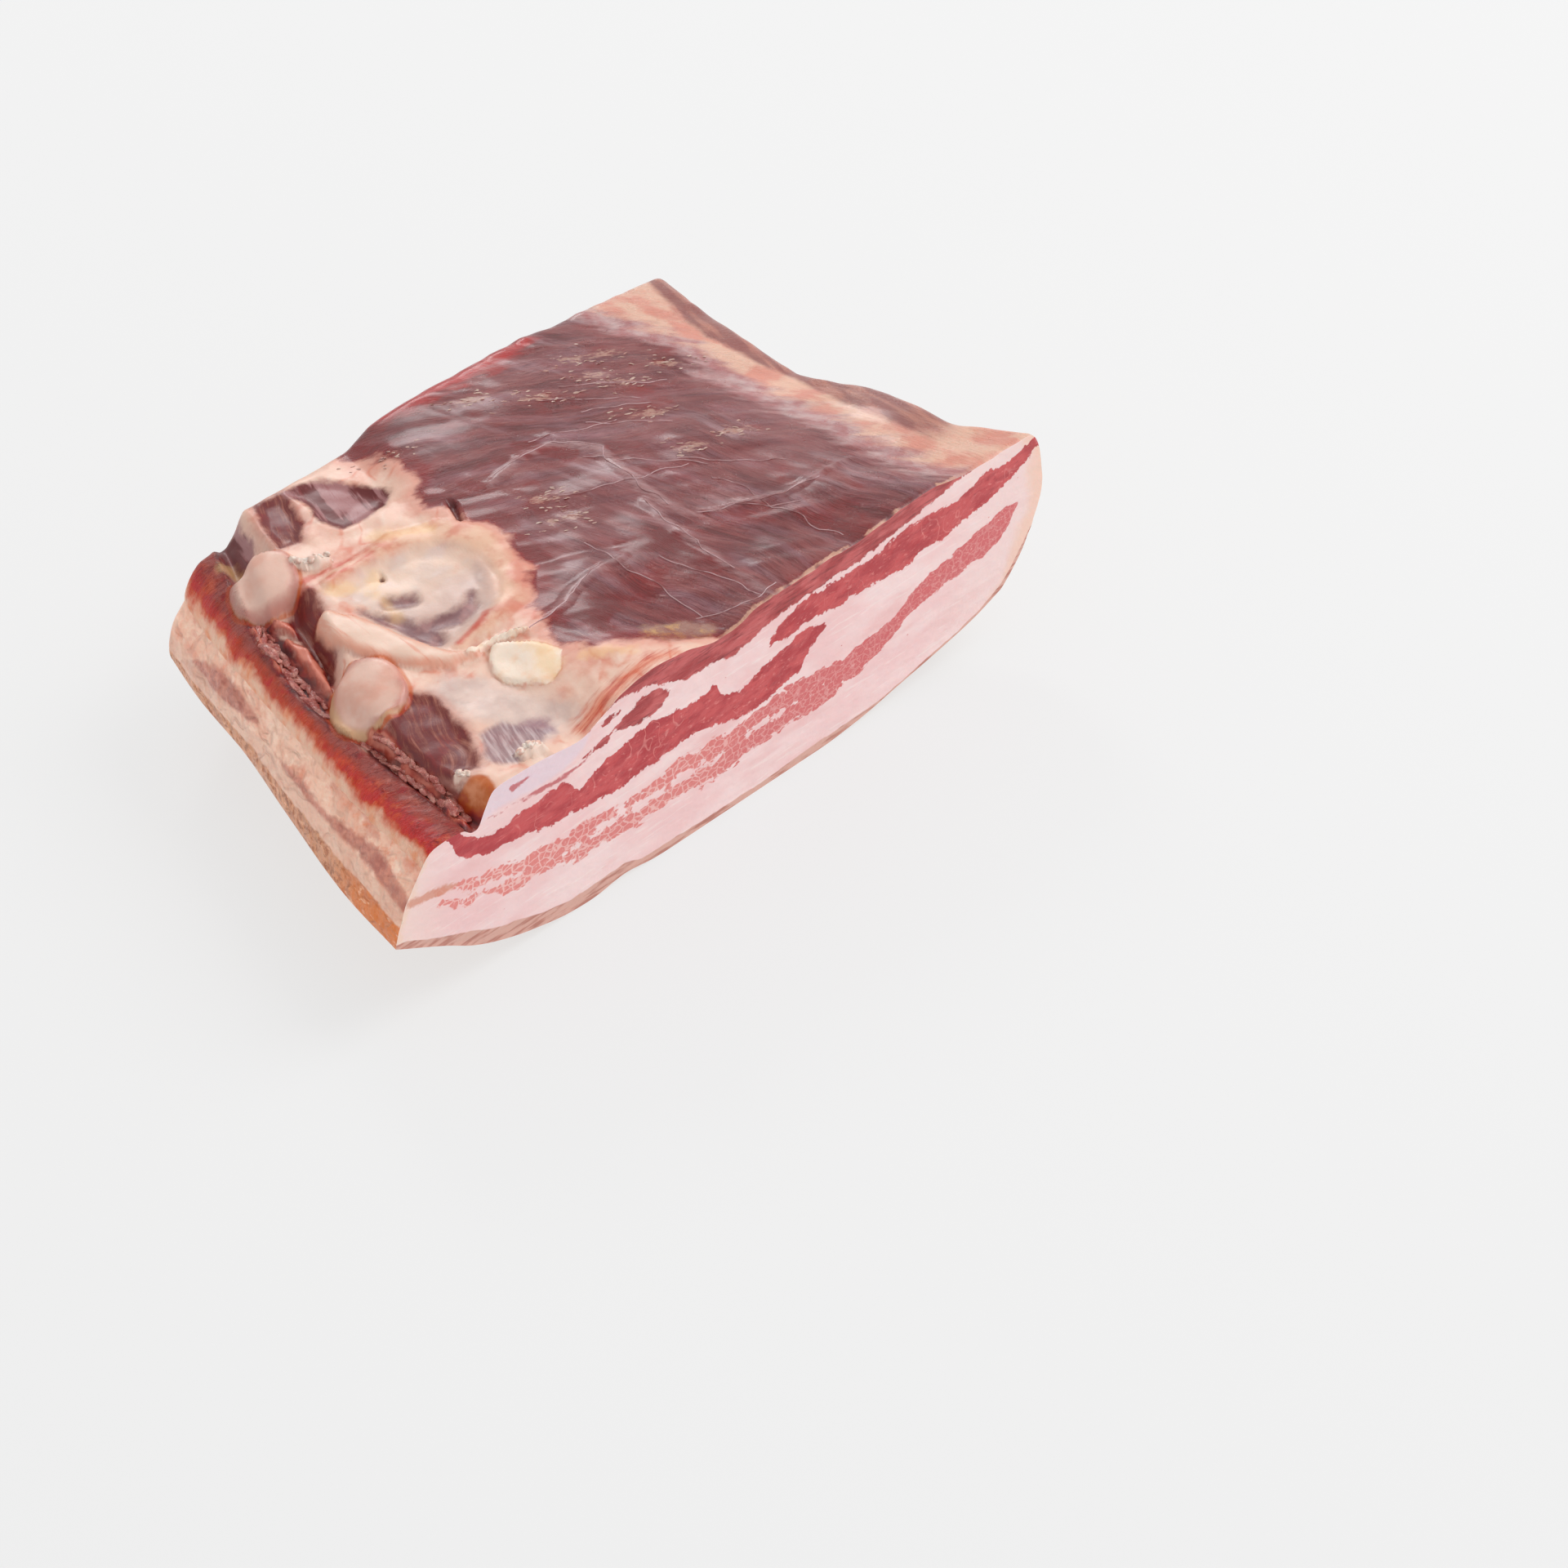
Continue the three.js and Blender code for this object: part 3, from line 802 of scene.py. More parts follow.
# %% A network of nodes
class Network:
    """Nodes of a finish or of a shape, added one at a time."""

    FAMILIES = ("ShaderNode",)

    def node(self, kind, settings=None, inputs=None, output=0):
        """Adds a node, applies its settings, feeds its sockets and returns one of its outputs, if any."""
        family = next(family for family in self.FAMILIES if hasattr(bpy.types, family + kind))
        made = self.tree.nodes.new(family + kind)
        for name, value in (settings or {}).items():
            setattr(made, name, value)
        for socket, value in (inputs or {}).items():
            if isinstance(value, Wire):
                self.tree.links.new(value.socket, made.inputs[socket])
            else:
                made.inputs[socket].default_value = value
        return None if output is None else Wire(self, made.outputs[output])

    def scaled(self, vector, amount):
        return self.node("VectorMath", {"operation": "SCALE"}, {0: vector, "Scale": amount})

    def any_way(self, place):
        """A smooth random vector at a place, from about -0.5 to 0.5 along each axis."""
        noise = self.node("TexNoise", {}, {"Vector": place, "Scale": 1.0, "Detail": 1.0}, "Color")
        return self.node("VectorMath", {"operation": "SUBTRACT"}, {0: noise, 1: (0.5, 0.5, 0.5)})


# %% [markdown]
# ## A finish
# Every finish is made the same way: patterns from noise at the real size, masks from depths, and
# colours laid over each other as a painter would. Patterns read Object coordinates, turned into mm.
# Colours are written as they look on a screen, 0 to 255, and turned into the linear light that shaders
# work in.


# %% Colours
def paint(red, green, blue):
    """A screen colour as linear light."""
    shares = np.array([red, green, blue]) / 255
    linear = np.where(shares <= 0.04045, shares / 12.92, ((shares + 0.055) / 1.055) ** 2.4)
    return (*linear.tolist(), 1.0)


print("the fat's colour as linear light:", np.round(paint(239, 198, 197), 2))


# %% Finishes
MIX_FACTOR, MIX_A, MIX_B, MIX_RESULT = 0, 6, 7, 2


class Finish(Network):
    """A procedural material being built."""

    def __init__(self, name):
        self.material = bpy.data.materials.new(name)
        self.material.use_nodes = True
        self.tree = self.material.node_tree
        self.tree.nodes.clear()
        object_place = self.node("TexCoord", output="Object")
        self.place = self.scaled(object_place, MM_IN_A_METRE)

    def measure(self, name):
        """A measure of the mesh, in mm."""
        return self.node("Attribute", {"attribute_name": name}, output="Fac")

    def turned(self, size, turn, place=None):
        """Coordinates in units of size mm along axes turned in plan by degrees."""
        return self.node("Mapping", {"vector_type": "TEXTURE"}, {
            "Vector": place or self.place, "Rotation": (0, 0, math.radians(turn)), "Scale": size,
        })

    def grain(self, size, turn=0, detail=2, rough=0.5, place=None):
        """Noise of a size in mm, from about -1 to 1."""
        noise = self.node("TexNoise", {"normalize": True}, {
            "Vector": self.turned(size, turn, place), "Scale": 1.0, "Detail": detail, "Roughness": rough,
        })
        return (noise - 0.5) * NOISE_SPREAD

    def cells(self, size, feature="DISTANCE_TO_EDGE", turn=0, place=None, output=0):
        return self.node("TexVoronoi", {"feature": feature}, {
            "Vector": self.turned(size, turn, place), "Scale": 1.0,
        }, output)

    def wander(self, size, amount):
        """The place in mm, pushed about by noise, so that straight patterns bend."""
        push = self.scaled(self.any_way(self.turned(size, 0)), amount)
        return self.node("VectorMath", {"operation": "ADD"}, {0: self.place, 1: push})

    def mask(self, value, low, high):
        """0 at low and 1 at high, smooth between."""
        return self.node("MapRange", {"interpolation_type": "SMOOTHSTEP"}, {
            "Value": value, "From Min": low, "From Max": high, "To Min": 0.0, "To Max": 1.0,
        })

    def zone(self, name, soft=0.8, noise=0.0):
        """1 inside a zone of the mesh and 0 outside, with a soft edge moved by noise."""
        return self.mask(self.measure(name) + noise, -soft, soft)

    def threads(self, size, turn, place, width=0.12):
        """Thin lines that wind along one direction: where smooth noise crosses zero."""
        return self.mask(self.grain(size, turn, 1, 0.4, place).size_only(), width, 0.0)

    def mix(self, under, over, mask):
        """One colour laid over another where the mask is 1."""
        colours = {MIX_FACTOR: mask, MIX_A: under, MIX_B: over}
        return self.node("Mix", {"data_type": "RGBA"}, colours, MIX_RESULT)

    def bump(self, height, depth_mm, normal=None):
        """A normal that shows a height of 0 to 1 as a relief of some mm."""
        inputs = {"Height": height, "Distance": depth_mm / MM_IN_A_METRE, "Strength": 1.0}
        if normal:
            inputs["Normal"] = normal
        return self.node("Bump", {}, inputs)

    def own_colour(self, seen, light, washed_out=1.1, painted_light_lift=1.0):
        """The colour that looks as seen when a light falls on it and the white room shines off it."""
        strong = self.node("HueSaturation", {}, {"Color": seen, "Saturation": washed_out})
        matt = self.node("VectorMath", {"operation": "SUBTRACT"}, {0: strong, 1: (SHEEN, SHEEN, SHEEN)})
        # A lift above 1 paints the colour brighter, as painted light where less light falls.
        own = self.scaled(matt, painted_light_lift * (1 / light))
        return self.node("VectorMath", {"operation": "MAXIMUM"}, {0: own, 1: (DARKEST, DARKEST, DARKEST)})

    def done(self, colour, roughness, others, normal=None):
        """Ends the finish in a Principled shader with some other sockets set too."""
        inputs = {"Base Color": colour, "Roughness": roughness, **others}
        if normal:
            inputs["Normal"] = normal
        shader = self.node("BsdfPrincipled", {}, inputs)
        self.node("OutputMaterial", {}, {"Surface": shader}, None)
        return self.material


SHEEN, DARKEST, NOISE_SPREAD = 0.03, 0.004, 4.2
LIGHT_ON_TOP, LIGHT_ON_CUT, LIGHT_ON_SIDES = 1.16, 0.96, 0.8


def flesh(wetness):
    """Sockets of every piece of meat: light goes some mm into it, and it is moist, more or less."""
    return {
        "Subsurface Weight": 0.2, "Subsurface Radius": (1.0, 0.4, 0.3), "Subsurface Scale": 0.002,
        "Coat Weight": wetness, "Coat Roughness": 0.2,
    }


print("finishes read", len(measures), "measures")

# %% [markdown]
# ## Fresh cut
# Fat is a warm pinkish white that drifts over a centimetre or two. Lean is a bundle of fibres cut
# across: dark red grains with paler lines of tissue between bundles. The two pale rows are small blocks
# of lean with fat between them, so they are drawn with a cell pattern. Every edge is moved in and out
# by noise before it is drawn sharp.


# %% Fat of the cut
def fat_of_cut(f):
    along = f.measure("along")
    fat = f.mix(paint(239, 198, 197), paint(243, 214, 212), f.mask(f.grain((19, 19, 9)), -0.9, 0.9))
    fat = f.mix(fat, paint(233, 184, 182), 0.6 * f.mask(f.grain((28, 28, 7), detail=3), 0.15, 0.9))
    # Faint whitish streaks along the layers: the fat's own grain, with painted sheen.
    fat = f.mix(fat, paint(246, 226, 222), 0.5 * f.mask(f.grain((9, 9, 0.8)), 0.35, 0.9))
    fat = f.mix(fat, paint(241, 214, 206), 0.8 * f.mask(along, 22, 2))
    fat = f.mix(fat, paint(239, 212, 208), 0.7 * f.mask(along, 185, 230))
    dried = f.measure("from_right") + 2.5 * f.grain((8, 8, 8), detail=4)
    fat = f.mix(fat, paint(238, 198, 178), 0.8 * f.mask(dried, 9, 1.5))
    orange_net = f.measure("from_left") + 2 * f.grain((3, 3, 5), detail=4)
    fat = f.mix(fat, paint(240, 206, 186), 0.7 * f.mask(orange_net, 3.5, 0.5))
    red_dots = f.mask(f.grain((1.9, 1.9, 1.2), detail=0), 1.42, 1.56)
    return f.mix(fat, paint(206, 84, 80), 0.6 * red_dots)


# %% Lean of the cut
def lean_of_cut(f):
    """The ordinary lean and the darker one under the rib side."""
    stringy = f.mask(f.measure("along"), 64, 50)
    across = f.grain((2.4, 2.4, 1.0), detail=4, rough=0.7)
    strings = f.grain((11, 11, 0.8), detail=4, rough=0.6)
    mottle = between(across, strings, 0.75 * stringy)
    cloud = f.mask(f.grain((8, 8, 4), detail=3), -0.5, 0.5)
    bent = f.wander((7, 7, 7), 5)
    tissue = f.threads((7, 7, 11), 0, bent, 0.06) * f.mask(f.grain((12, 12, 8)), -0.2, 0.4)
    lean = f.mix(paint(178, 56, 62), paint(200, 80, 82), cloud)
    lean = f.mix(lean, paint(230, 148, 142), 0.7 * f.mask(mottle, 0.25, 0.95) + 0.5 * tissue)
    lean = f.mix(lean, paint(152, 52, 58), 0.7 * f.mask(mottle, -0.2, -1.0))
    stretched = f.grain((9, 9, 0.9), detail=5, rough=0.72)
    deep = f.mix(paint(168, 62, 64), paint(196, 92, 92), cloud)
    deep = f.mix(deep, paint(118, 34, 40), 0.8 * f.mask(stretched, 0.0, -0.7))
    deep = f.mix(deep, paint(222, 140, 134), 0.55 * f.mask(stretched, 0.3, 1.0))
    return lean, deep


# %% Pale blocks of lean
def pale_blocks(f):
    """Colour of the pale lean, where its islands are, and a chance for each grain of them."""
    bent = f.wander((2, 2, 2), 1.2)
    grains = f.grain((0.9, 0.9, 0.7), detail=3, rough=0.7)
    gap = f.cells((2.8, 2.8, 2.0), place=bent)
    block_colour = f.cells((2.8, 2.8, 2.0), "F1", place=bent, output="Color")
    chance = f.node("SeparateColor", {}, {"Color": block_colour})
    to_right = f.mask(f.measure("along") + 30 * f.grain((40, 40, 40)), 20, 190)
    pale = f.mix(paint(226, 136, 130), paint(208, 100, 102), to_right)
    pale = f.mix(pale, paint(240, 190, 184), 0.6 * f.mask(grains, 0.1, 1.0))
    pale = f.mix(pale, paint(196, 90, 92), 0.35 * f.mask(grains, -0.2, -1.0))
    open_gaps = 0.8 - 0.6 * to_right
    pale = f.mix(paint(242, 200, 194), pale, 1 - open_gaps * f.mask(gap, 0.1, 0.02))
    islands = 1.6 * f.grain((4.6, 4.6, 3.0), detail=3, rough=0.6)
    return pale, islands, 1.4 * (chance - 0.5)


# %% The fresh cut
def fresh_cut():
    f = Finish("fresh_cut")
    jagged = 1.1 * f.grain((3.4, 3.4, 2.4), detail=4, rough=0.6) + 0.5 * f.grain((0.9, 0.9, 0.9), detail=2)
    lean, deep = lean_of_cut(f)
    pale, islands, chance = pale_blocks(f)

    seen = f.mix(fat_of_cut(f), pale, f.zone("pale_lean", 0.2, islands + chance))
    seen = f.mix(seen, pale, f.zone("pale_right", 0.2, 0.5 * islands + 0.5 * chance + 0.3))
    seen = f.mix(seen, paint(214, 146, 124), 0.85 * f.zone("tan_tail", 0.5, 0.6 * jagged))
    seen = f.mix(seen, lean, f.zone("main_lean", 0.18, 0.9 * jagged + 0.9))
    seen = f.mix(seen, lean, f.zone("second_lean", 0.18, 0.9 * jagged + 0.9))
    seen = f.mix(seen, paint(231, 208, 216), 0.92 * f.zone("cartilage", 1.2, 0.3 * jagged))
    seen = f.mix(seen, paint(192, 84, 90), 0.85 * f.zone("red_line", 0.3, 0.4 * jagged))
    seen = f.mix(seen, deep, f.zone("top_lean", 0.25, 0.7 * jagged))
    seen = f.mix(seen, deep, f.zone("dark_spot", 0.2, 0.7 * jagged))
    bands = f.mask(f.grain((8, 8, 1), detail=3), -0.2, 0.7)
    rind = f.mix(paint(214, 166, 152), paint(184, 122, 108), bands)
    seen = f.mix(seen, rind, f.zone("rind_edge", 0.2, 0.5 + 0.3 * f.grain((5, 5, 5), detail=3)))

    relief = 0.6 * f.grain((4, 4, 2.4), detail=2)
    roughness = 0.34 + 0.05 * f.grain((6, 6, 3), detail=3)
    own = f.own_colour(seen, LIGHT_ON_CUT, 1.0)
    return f.done(own, roughness, flesh(0.2), f.bump(relief, 0.12))


# %% [markdown]
# ## Rib side
# Left of the fat's edge lies the bed of fat, sinew and cartilage, and right of it the muscle, dark
# and dry under a thin milky skin. Each zone of the bed is a colour laid over the one before, with an
# edge that noise has moved. The muscle is laid from below: red flesh, milky haze and its folds, the fine
# grooves of its fibres in two directions that cross, and dark red patches where the skin is thinnest.


# %% Muscle under its milky skin
def muscle_skin(f):
    """Colour and relief of the dried muscle with its pale skin."""
    front = f.mask(f.measure("from_cut") + 20 * f.grain((38, 38, 38)), 82, 34)
    bent = f.wander((30, 30, 30), 10)

    def fibres(length, width, detail, rough):
        by_back = f.grain((length, width, length), FIBRES_BACK, detail, rough, bent)
        return between(by_back, f.grain((length, width, length), FIBRES_FRONT, detail, rough, bent), front)

    fine = fibres(7, 0.7, 4, 0.7)
    broad = fibres(20, 4, 4, 0.6)
    blotches = f.grain((15, 15, 15), detail=4, rough=0.6)
    red_patch = f.zone("redder", 1.5, 2.4 * f.grain((9, 4, 9), -40, 4))
    skin = f.mix(paint(108, 64, 66), paint(154, 104, 103), f.mask(broad, -0.9, 0.9))
    skin = f.mix(skin, paint(150, 74, 72), 0.5 * f.mask(blotches, 0.1, 1.0))
    skin = f.mix(skin, paint(110, 82, 84), 0.5 * f.mask(blotches, -0.2, -1.0))
    skin = f.mix(skin, paint(204, 88, 82), 0.75 * f.zone("edge_red", 3.0, 3 * f.grain((12, 4, 9), -10, 4)))
    haze = f.mask(fibres(30, 7, 5, 0.66), -0.2, 1.2) * (1 - 0.6 * red_patch)
    skin = f.mix(skin, paint(182, 152, 160), 0.45 * haze)
    folds = f.grain((44, 6, 44), FIBRES_FRONT + 6, 5, 0.62, bent)
    folds = f.mask(folds, 0.0, 1.1) * f.mask(f.grain((24, 24, 24), detail=2), -0.6, 0.5)
    skin = f.mix(skin, paint(206, 180, 184), 0.55 * folds)
    skin = f.mix(skin, paint(78, 34, 38), 0.65 * f.mask(fine, 0.0, -1.2))
    skin = f.mix(skin, paint(206, 166, 160), 0.5 * f.mask(fine, 0.2, 1.3))
    skin = f.mix(skin, paint(124, 26, 30), 0.72 * red_patch)
    strong = f.zone("membrane", 1.8, 1.3 * f.grain((9, 2.4, 9), -60, 4) - 0.3)
    skin = f.mix(skin, paint(210, 182, 182), 0.5 * strong)
    return skin, 0.3 * haze + 0.3 * folds + 0.35 * fine + 0.25 * broad + 0.3 * strong


# %% Flecks, painted glints, the speckled spot and the muscle's edges
def muscle_edges(f, skin):
    """The muscle's colour, with painted glints and what lies on it near the back, the cut and the spot of
    fat.
    """
    at_back = f.mask(f.measure("from_cut"), 56, 96)
    patch = f.mask(f.grain((22, 13, 22), -20, 3), 0.0, 0.7)
    flecks = f.mask(f.grain((5, 1.4, 5), FIBRES_BACK, 5, 0.72), 0.45, 0.9) * patch * at_back
    frayed = f.measure("flecks") + 0.6 * f.grain((3, 1.2, 3), FIBRES_BACK, 4, 0.7)
    flecks = flecks.most(f.mask(frayed, 0.7, 1.1))
    skin = f.mix(skin, paint(206, 172, 160), 0.7 * flecks)
    # Tiny white specks here and there are painted glints of the moist skin.
    painted_glints = f.mask(f.grain((1.1, 1.1, 1.1), detail=1), 1.25, 1.45)
    skin = f.mix(skin, paint(236, 222, 216), 0.6 * painted_glints * f.mask(f.grain((14, 14, 14)), 0.2, 0.8))
    edge = f.measure("from_cut") + 0.8 * f.grain((5, 2, 5), detail=4, rough=0.7)
    broken = f.mask(f.grain((7, 7, 7)), -0.5, 0)
    skin = f.mix(skin, paint(228, 188, 170), 0.8 * f.mask(edge, 0.9, 0.5) * broken)
    mottle = f.mask(f.grain((4, 4, 4), detail=4, rough=0.7), -0.2, 0.6)
    spot = f.mix(paint(184, 150, 140), paint(228, 192, 156), mottle)
    return f.mix(skin, spot, 0.9 * f.zone("speckled", 1.4, 1.5 * f.grain((5, 5, 5), detail=3)))


# %% Bed of fat
def bed_of_fat(f, rough_edge):
    """Colour of the fat, its ring, its pool of clear tissue and its flakes."""
    blotch = 0.7 * f.grain((11, 11, 11), detail=4, rough=0.55)
    small = 0.45 * f.grain((5, 5, 5), detail=3, rough=0.5)
    bent = f.wander((12, 12, 12), 9)
    folds = f.threads((16, 8, 16), 40, bent, 0.4)
    bed = f.mix(paint(236, 204, 190), paint(220, 168, 154), f.mask(blotch, -0.1, 0.8))
    bed = f.mix(bed, paint(240, 214, 200), 0.8 * f.mask(f.grain((15, 15, 15), detail=3), -0.2, 0.8))
    bed = f.mix(bed, paint(206, 160, 154), 0.6 * f.mask(small, 0.1, 0.7))
    bed = f.mix(bed, paint(244, 226, 214), 0.45 * folds * f.mask(small, 0.4, -0.5))
    red_lines = f.threads((13, 9, 13), 30, bent, 0.25) * f.mask(blotch, -0.2, 0.3)
    bed = f.mix(bed, paint(214, 122, 104), 0.4 * red_lines)
    ring = f.mix(paint(234, 200, 180), paint(214, 158, 142), f.mask(blotch + small, -0.3, 0.5))
    bed = f.mix(bed, ring, 0.85 * f.zone("ring", 3, 1.4 * rough_edge))
    milky = f.mix(paint(238, 214, 200), paint(222, 202, 192), f.mask(f.grain((10, 10, 10)), -0.4, 0.6))
    milky = f.mix(milky, paint(232, 178, 160), 0.6 * f.mask(blotch, 0.1, 0.7))
    low_half = f.mask(f.measure("from_cut") + 8 * blotch, 74, 62)
    milky = f.mix(milky, paint(190, 166, 164), 0.5 * low_half)
    milky = f.mix(milky, paint(232, 214, 208), 0.6 * f.mask(small, 0.05, 0.4))
    bed = f.mix(bed, milky, 0.92 * f.zone("pool", 2.6, 1.6 * rough_edge))
    murk = f.mix(paint(116, 80, 86), paint(164, 126, 126), f.mask(f.grain((6, 4, 6), 72, 3), -0.4, 0.8))
    bed = f.mix(bed, murk, 0.85 * f.zone("murky", 1.8, 1.6 * rough_edge - 0.4))
    clear = f.mix(paint(206, 188, 182), paint(232, 214, 206), f.mask(small, -0.3, 0.5))
    bed = f.mix(bed, clear, 0.8 * f.zone("clear_fat", 3.0, 2 * rough_edge))
    bed = f.mix(bed, paint(142, 108, 120), 0.75 * f.zone("stain", 2.0, 1.6 * rough_edge))
    bed = f.mix(bed, paint(198, 100, 92), 0.7 * f.zone("vein", 1.0, 1.4 * small))
    return bed, small


# %% Windows, sinew, knobs and flakes
def forms_of_bed(f, bed, rough_edge, small):
    """The bed's colour with everything that has a sharp edge of its own."""
    strings = f.grain((12, 1.2, 6), 66, 5, 0.72, f.wander((14, 14, 14), 6))
    window = f.mix(paint(118, 72, 70), paint(176, 130, 120), f.mask(strings, -0.3, 1.2))
    window = f.mix(window, paint(124, 50, 50), 0.6 * f.mask(f.grain((7, 7, 7), detail=4), 0.0, 0.9))
    window = f.mix(window, paint(80, 40, 42), 0.6 * f.mask(strings, -0.4, -1.4))
    bed = f.mix(bed, paint(186, 140, 132), 0.6 * f.mask(f.measure("window") + rough_edge, -4, 0))
    bed = f.mix(bed, window, f.zone("window", 1.1, 1.5 * rough_edge))
    stripes = f.mask(f.grain((34, 5.4, 8), 74, 4, 0.6), -0.2, 0.25)
    striped = f.mix(paint(112, 68, 68), paint(172, 134, 134), stripes)
    striped = f.mix(striped, paint(150, 96, 96), 0.5 * f.mask(strings, 0.1, 0.7))
    bed = f.mix(bed, striped, f.zone("striped", 1.2, 1.6 * rough_edge))
    veil = f.mix(paint(138, 112, 118), paint(190, 172, 174), f.mask(f.grain((9, 1.0, 5), 70, 4), -0.4, 0.7))
    bed = f.mix(bed, veil, 0.85 * f.zone("veil", 1.4, rough_edge))
    across = f.measure("sinew") + 1.2 * f.grain((20, 3, 9), 80, 3)
    sinew = f.mix(paint(232, 184, 168), paint(236, 210, 196), f.mask(across, 0.0, 3.2))
    sinew = f.mix(sinew, paint(224, 160, 144), 0.5 * f.mask(f.grain((16, 2, 9), 84, 4), 0.1, 0.7))
    bed = f.mix(bed, sinew, f.zone("sinew", 0.7, 0.7 * rough_edge))
    # A thin tan-brown line round the ivory flake: its own outline, and painted shadow under its raised edge.
    outline_and_painted_shadow = f.mask((f.measure("ivory") + 0.5 * small).size_only(), 0.5, 0.1)
    bed = f.mix(bed, paint(196, 128, 96), 0.6 * outline_and_painted_shadow * f.mask(rough_edge, -0.4, 0.3))
    ivory = f.mix(paint(252, 236, 222), paint(248, 214, 188), f.mask(small, -0.1, 0.7))
    bed = f.mix(bed, ivory, f.zone("ivory", 0.4, 0.9 * rough_edge))
    yellow = f.zone("yellow", 1.8, 2.2 * rough_edge)
    bed = f.mix(bed, paint(244, 210, 166), 0.42 * yellow)
    bed = f.mix(bed, paint(206, 124, 96), 0.6 * f.mask((f.measure("knob") + 0.5).size_only(), 1.0, 0.2))
    knob = f.mix(paint(204, 158, 150), paint(234, 204, 192), f.mask(f.measure("knob") + 2 * small, 0.2, 3.6))
    knob = f.mix(knob, paint(224, 172, 158), 0.5 * f.mask(f.grain((9, 9, 9), detail=3), -0.2, 0.8))
    low_left = f.mask(f.measure("knob") + 0.2 * f.measure("along"), 9, 7)
    knob = f.mix(knob, paint(222, 192, 156), 0.6 * low_left)
    bed = f.mix(bed, knob, f.zone("knob", 0.35, 0.35 * small))
    # Holes are painted dark brown: painted shade deep inside them.
    return f.mix(bed, paint(110, 58, 54), 0.85 * f.zone("hole", 0.4, 0.3 * small))


# %% The red ledge
def red_ledge(f, small):
    """Colour and relief of the ledge: paler red at its outer rim, then red, then brown by the groove."""
    fibres = f.grain((3.4, 1.0, 3.4), LEDGE_FIBRES, 4, 0.68)
    blotch = 0.7 * f.grain((6, 6, 6), detail=4, rough=0.6)
    outer = f.mask(f.measure("rim") + 2.4 * blotch, -5.5, -2)
    ledge = f.mix(paint(190, 102, 96), paint(212, 136, 124), f.mask(blotch, -0.1, 0.6))
    ledge = f.mix(ledge, paint(160, 108, 104), 0.8 * f.mask(f.measure("ledge") + 4 * blotch, 8, 3))
    ledge = f.mix(ledge, paint(166, 58, 56), 0.6 * f.mask(f.grain((4, 4, 4), detail=4), 0.2, 1.0))
    ledge = f.mix(ledge, paint(108, 42, 42), 0.75 * (1 - 0.6 * outer) * f.mask(fibres, 0.0, -1.0))
    ledge = f.mix(ledge, paint(208, 118, 104), 0.6 * outer)
    ledge = f.mix(ledge, paint(240, 178, 160), 0.55 * f.mask(fibres, 0.4, 1.3))
    glints = f.mask(f.grain((0.9, 0.9, 0.9), detail=1), 1.3, 1.5) * f.mask(blotch, -0.1, 0.5)
    return f.mix(ledge, paint(246, 224, 216), 0.6 * glints), 0.6 * fibres + small


# %% The groove behind the ledge
def groove(f, small):
    """Colour of the torn meat in the groove with pinkish shreds, dark partly by its own colour, partly as
    painted shade.
    """
    torn = 0.7 * f.grain((2.4, 7, 3), 8, 4, 0.65, f.wander((9, 9, 9), 5))
    meat = f.mix(paint(96, 50, 50), paint(162, 104, 100), f.mask(torn, -0.3, 0.5))
    meat = f.mix(meat, paint(206, 146, 134), 0.7 * f.mask(torn, 0.3, 0.8))
    return f.mix(meat, paint(150, 62, 56), 0.6 * f.mask(small, 0.1, 0.7))


